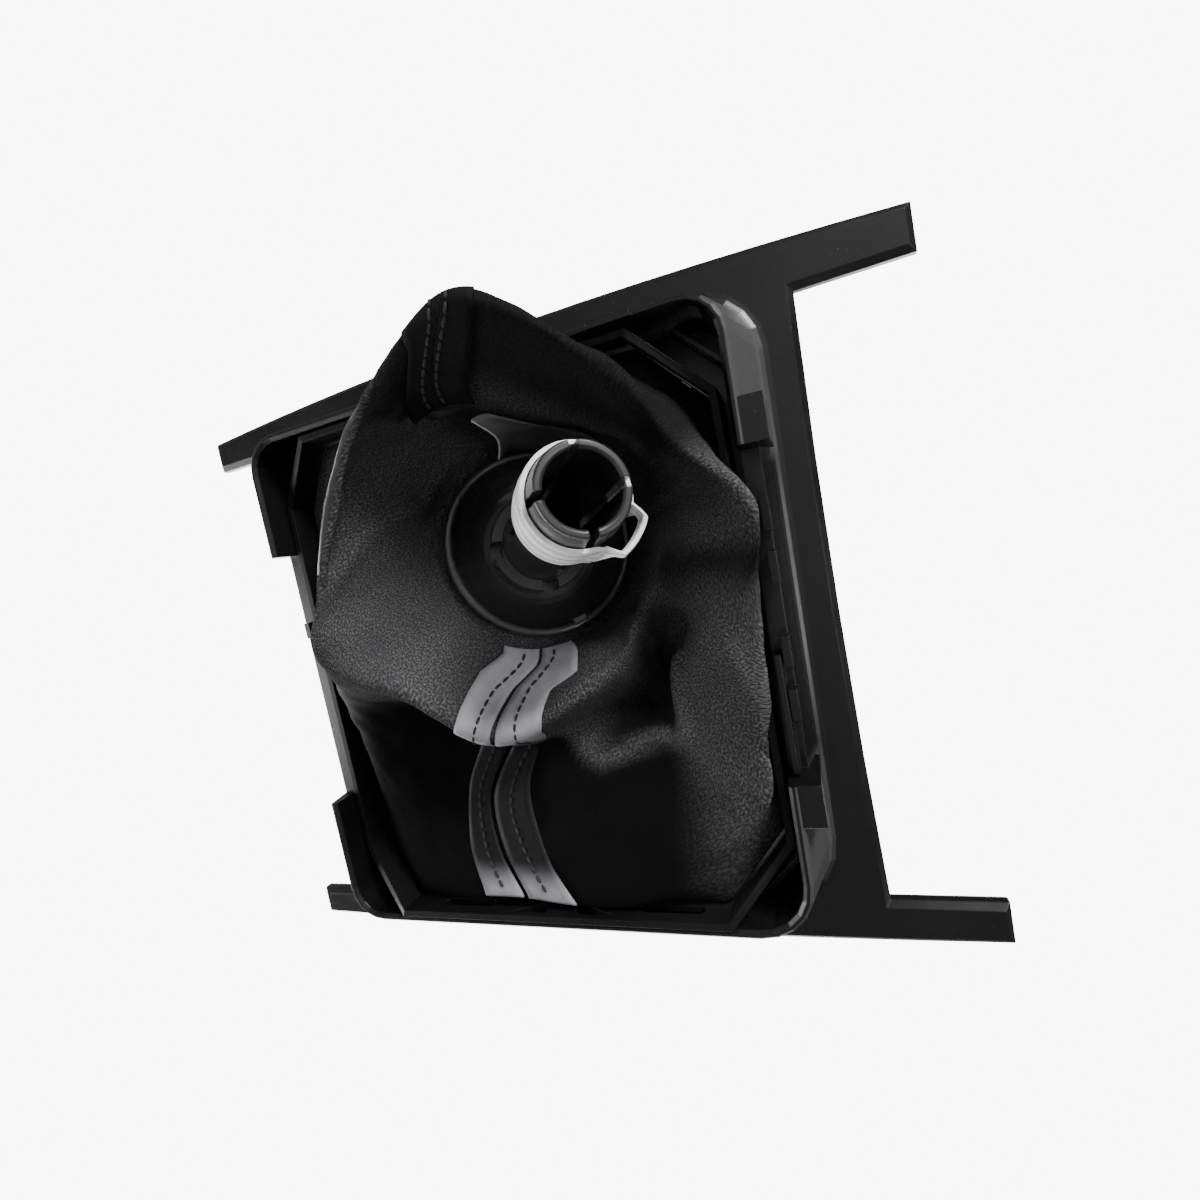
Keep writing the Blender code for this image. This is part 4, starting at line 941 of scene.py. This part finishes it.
def build_clamp(material):
    """A ridged steel band whose ear stands out as a narrow loop, with a folded lug beside it."""
    steps = 220
    bm = bmesh.new()
    low, high = SLEEVE_TIP - CLAMP_PLACE - CLAMP_WIDTH, SLEEVE_TIP - CLAMP_PLACE
    count = 15
    section = []
    for k in range(count):
        t = k / (count - 1)
        ridge = RIDGE_HEIGHT * math.cos(t * math.tau * RIDGES) * math.sin(math.pi * t) ** 0.5
        section.append((CLAMP_THICKNESS + 0.15 * math.sin(math.pi * t) + ridge, t))
    section += [(0.0, 1.0), (0.0, 0.5), (0.0, 0.0)]
    first = 10                  # radius for the spin alone
    ring = [bm.verts.new((first + out, 0, t)) for out, t in section]
    edges = [bm.edges.new(pair) for pair in zip(ring, ring[1:] + ring[:1])]
    bmesh.ops.spin(bm, geom=ring + edges, cent=(0, 0, 0), axis=(0, 0, 1), dvec=(0, 0, 0),
                   angle=math.tau, steps=steps, use_merge=True, use_duplicate=False)
    bmesh.ops.remove_doubles(bm, verts=bm.verts[:], dist=1e-4)
    for vert in bm.verts:
        angle = math.atan2(vert.co.y, vert.co.x)
        out, t = math.hypot(vert.co.x, vert.co.y) - first, vert.co.z
        away = abs((angle - EAR_ANGLE + math.pi) % math.tau - math.pi) / (EAR_SPAN / 2)
        raised = min(1.0, max(0.0, (1.0 - away) / 0.34))
        lug = math.exp(-((angle - EAR_ANGLE + EAR_SPAN * 0.53) / 0.10) ** 2)
        near = SLEEVE_OUTER + CLAMP_CLEAR + EAR_RISE * raised + LUG_RISE * lug
        slim = smooth_step(raised, 0.05, 0.7)
        foot = low + (high - low) * EAR_NARROWING * slim
        height = foot + (high - foot) * t
        direction = Vector((math.cos(angle), math.sin(angle), 0))
        vert.co = direction * (near + out) + Vector((0, 0, height))
    bmesh.ops.recalc_face_normals(bm, faces=bm.faces[:])
    on_knob(bm)
    piece = finished("ear_clamp_band", bm, material)
    piece.data.set_sharp_from_angle(angle=math.radians(40))
    return piece


def grip_radius(t):
    """Outer radius of the grip from its foot, t = 0, to its top, t = 1."""
    swell = GRIP_WAIST + (GRIP_BELLY - GRIP_WAIST) * (0.5 - 0.5 * math.cos(math.pi * min(t / 0.72, 1.0)))
    return swell - (GRIP_BELLY - GRIP_TOP) * max(0.0, (t - 0.72) / 0.28) ** 2


def knob_piece(name, node, profile, material):
    """A round piece of the knob, turned on its axis where the CAD's own piece is."""
    bm = turned(profile)
    on_knob(bm)
    piece = finished(name, bm, material)
    piece.data.set_sharp_from_angle(angle=math.radians(35))
    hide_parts(node)
    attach(piece, "root")
    return piece


def arc(radius, height, size, start, end, count):
    """Points of an arc of a profile, from angle start to end in radians, up the knob's axis."""
    return [(radius + size * math.cos(a), -height - size * math.sin(a))
            for a in np.linspace(start, end, count)]


def build_grip(leather):
    """Leather grip with the groove of its sewn seam."""
    heights = [GRIP_LOW + GRIP_LENGTH * i / GRIP_STEPS for i in range(GRIP_STEPS + 1)]
    radii = [grip_radius(i / GRIP_STEPS) for i in range(GRIP_STEPS + 1)]
    outside = [(r, -h) for r, h in zip(radii, heights)]
    outside[0] = (radii[0] - 0.5, outside[0][1])
    outside[-1] = (radii[-1] - 0.3, outside[-1][1])
    inside = [(r - GRIP_WALL, -h) for r, h in zip(radii, heights)][::-1]
    bm = turned(outside + inside, steps=144)
    for vert in bm.verts:
        away = math.atan2(vert.co.y, vert.co.x)
        radius = math.hypot(vert.co.x, vert.co.y)
        if radius > np.interp(-vert.co.z, heights, radii) - GRIP_WALL / 2:
            pull = 1 - SEAM_DEPTH / radius * math.exp(-(away * radius / SEAM_WIDTH) ** 2)
            vert.co.x *= pull
            vert.co.y *= pull
    on_knob(bm)
    grip = finished("grip_leather_cover", bm, leather)
    grip.data.set_sharp_from_angle(angle=math.radians(40))
    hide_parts("grip_cover")
    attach(grip, "root")


def build_grip_stitches(thread):
    """A row of stitches on each side of the grip's seam."""
    rows = []
    share = np.linspace(0.03, 0.97, 120)
    for side in (-1, 1):
        radius = np.array([grip_radius(t) for t in share]) + 0.05
        angle = side * SEAM_STITCH_OFFSET / radius
        line = np.array([RING_CENTRE + SIDE * r * math.cos(a) + UP * r * math.sin(a)
                         - AXIS * (GRIP_LOW + GRIP_LENGTH * t) for r, a, t in zip(radius, angle, share)])
        out = np.array([SIDE * math.cos(a) + UP * math.sin(a) for a in angle])
        rows.append((line, out))
    seam = stitches("grip_seam_stitches", rows, thread, pitch=3.0, thread=2.3, size=0.32)
    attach(seam, "root")


def build_knob_ends(chrome, gloss):
    """The chrome rings at the grip's ends and the domed cap."""
    middle, half = (NECK_RING_LOW + NECK_RING_HIGH) / 2, (NECK_RING_HIGH - NECK_RING_LOW) / 2
    ring = [(NECK_RING_BORE, -NECK_RING_LOW)]
    ring += arc(NECK_RING_OUTER, middle, half, -math.pi / 2, math.pi / 2, 13)
    ring += [(NECK_RING_BORE, -NECK_RING_HIGH)]
    knob_piece("neck_ring_turned", "neck_trim_ring", ring, chrome)
    height = BEZEL_HIGH - BEZEL_LOW
    bezel = [(BEZEL_BORE, -BEZEL_LOW), (GRIP_TOP, -BEZEL_LOW)]
    bezel += arc(GRIP_TOP - height, BEZEL_LOW, height, 0.1, math.radians(72), 10)
    bezel += [(BEZEL_BORE, -BEZEL_HIGH)]
    knob_piece("cap_bezel_turned", "cap_bezel", bezel, chrome)
    dome = [(CAP_RADIUS * math.cos(a), -BEZEL_HIGH - CAP_RISE * math.sin(a))
            for a in np.linspace(0.05, math.pi / 2, 16)[:-1]]
    cap = [(0.0, -BEZEL_LOW), (CAP_RADIUS, -BEZEL_LOW), (CAP_RADIUS, -BEZEL_HIGH)] + dome
    cap += [(0.0, -BEZEL_HIGH - CAP_RISE)]
    knob_piece("domed_cap", "top_cap", cap, gloss)


# Put together
make_camera()
make_floor()
make_surroundings()
for lamp in LAMPS:
    add_lamp(*lamp)
black = plastic("gloss_black_frame", (0.0022, 0.0022, 0.0025), (0.0045, 0.0045, 0.005), 0.27,
                specular=0.27, dust=0.10, painted_tab_light=0.75)
satin = plastic("satin_black_retainer", (0.0022, 0.0022, 0.0025), (0.005, 0.005, 0.0055), 0.48,
                specular=0.12, dust=0.08)
ring_black = plastic("gloss_black_ring", (0.012, 0.013, 0.012), (0.020, 0.021, 0.020), 0.28,
                     bump=0.02, specular=0.5, dust=0.03, marks=0.1)
steel = steel_material()
chrome = chrome_material()
knit = knit_material()
leather = leather_material("leather_face", (0.010, 0.010, 0.011), 0.48)
grip_leather = leather_material("leather_grip", (0.012, 0.012, 0.013), 0.42)
vinyl = tape_material("seam_vinyl", (0.170, 0.170, 0.178), (0.245, 0.245, 0.255), 0.54, 0.12)
dark_vinyl = tape_material("dark_vinyl", (0.0025, 0.0025, 0.003), (0.006, 0.006, 0.0065), 0.75, 0.03)
hem_vinyl = tape_material("hem_vinyl", (0.055, 0.055, 0.058), (0.095, 0.095, 0.100), 0.60, 0.15)
thread = thread_material("stitch_thread", (0.006, 0.006, 0.007), (0.03, 0.03, 0.032))
# pale thread that paints the highlight along the hem band's edge
edge_highlight = thread_material("edge_highlight_thread", (0.25, 0.25, 0.25), (0.60, 0.60, 0.60))
LOOKS = {
    "trim_frame": black, "gaiter_retainer": satin, "base_ring": ring_black, "knob_neck": satin,
    "grip_core": satin,
}
for node, look in LOOKS.items():
    nodes[node].data.materials.clear()
    nodes[node].data.materials.append(look)
gaiter = build_gaiter([knit, leather])
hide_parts("gaiter_left_panel", "gaiter_right_panel")
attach(gaiter, "root")
tapes = build_tapes(vinyl, dark_vinyl, hem_vinyl, thread, edge_highlight)
for piece in tapes:
    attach(piece, "root")
sleeve = build_sleeve(ring_black)
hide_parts("lever_sleeve")
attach(sleeve, "root")
clamp = build_clamp(steel)
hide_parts("ear_clamp")
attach(clamp, "root")
build_grip(grip_leather)
build_grip_stitches(thread)
build_knob_ends(chrome, ring_black)
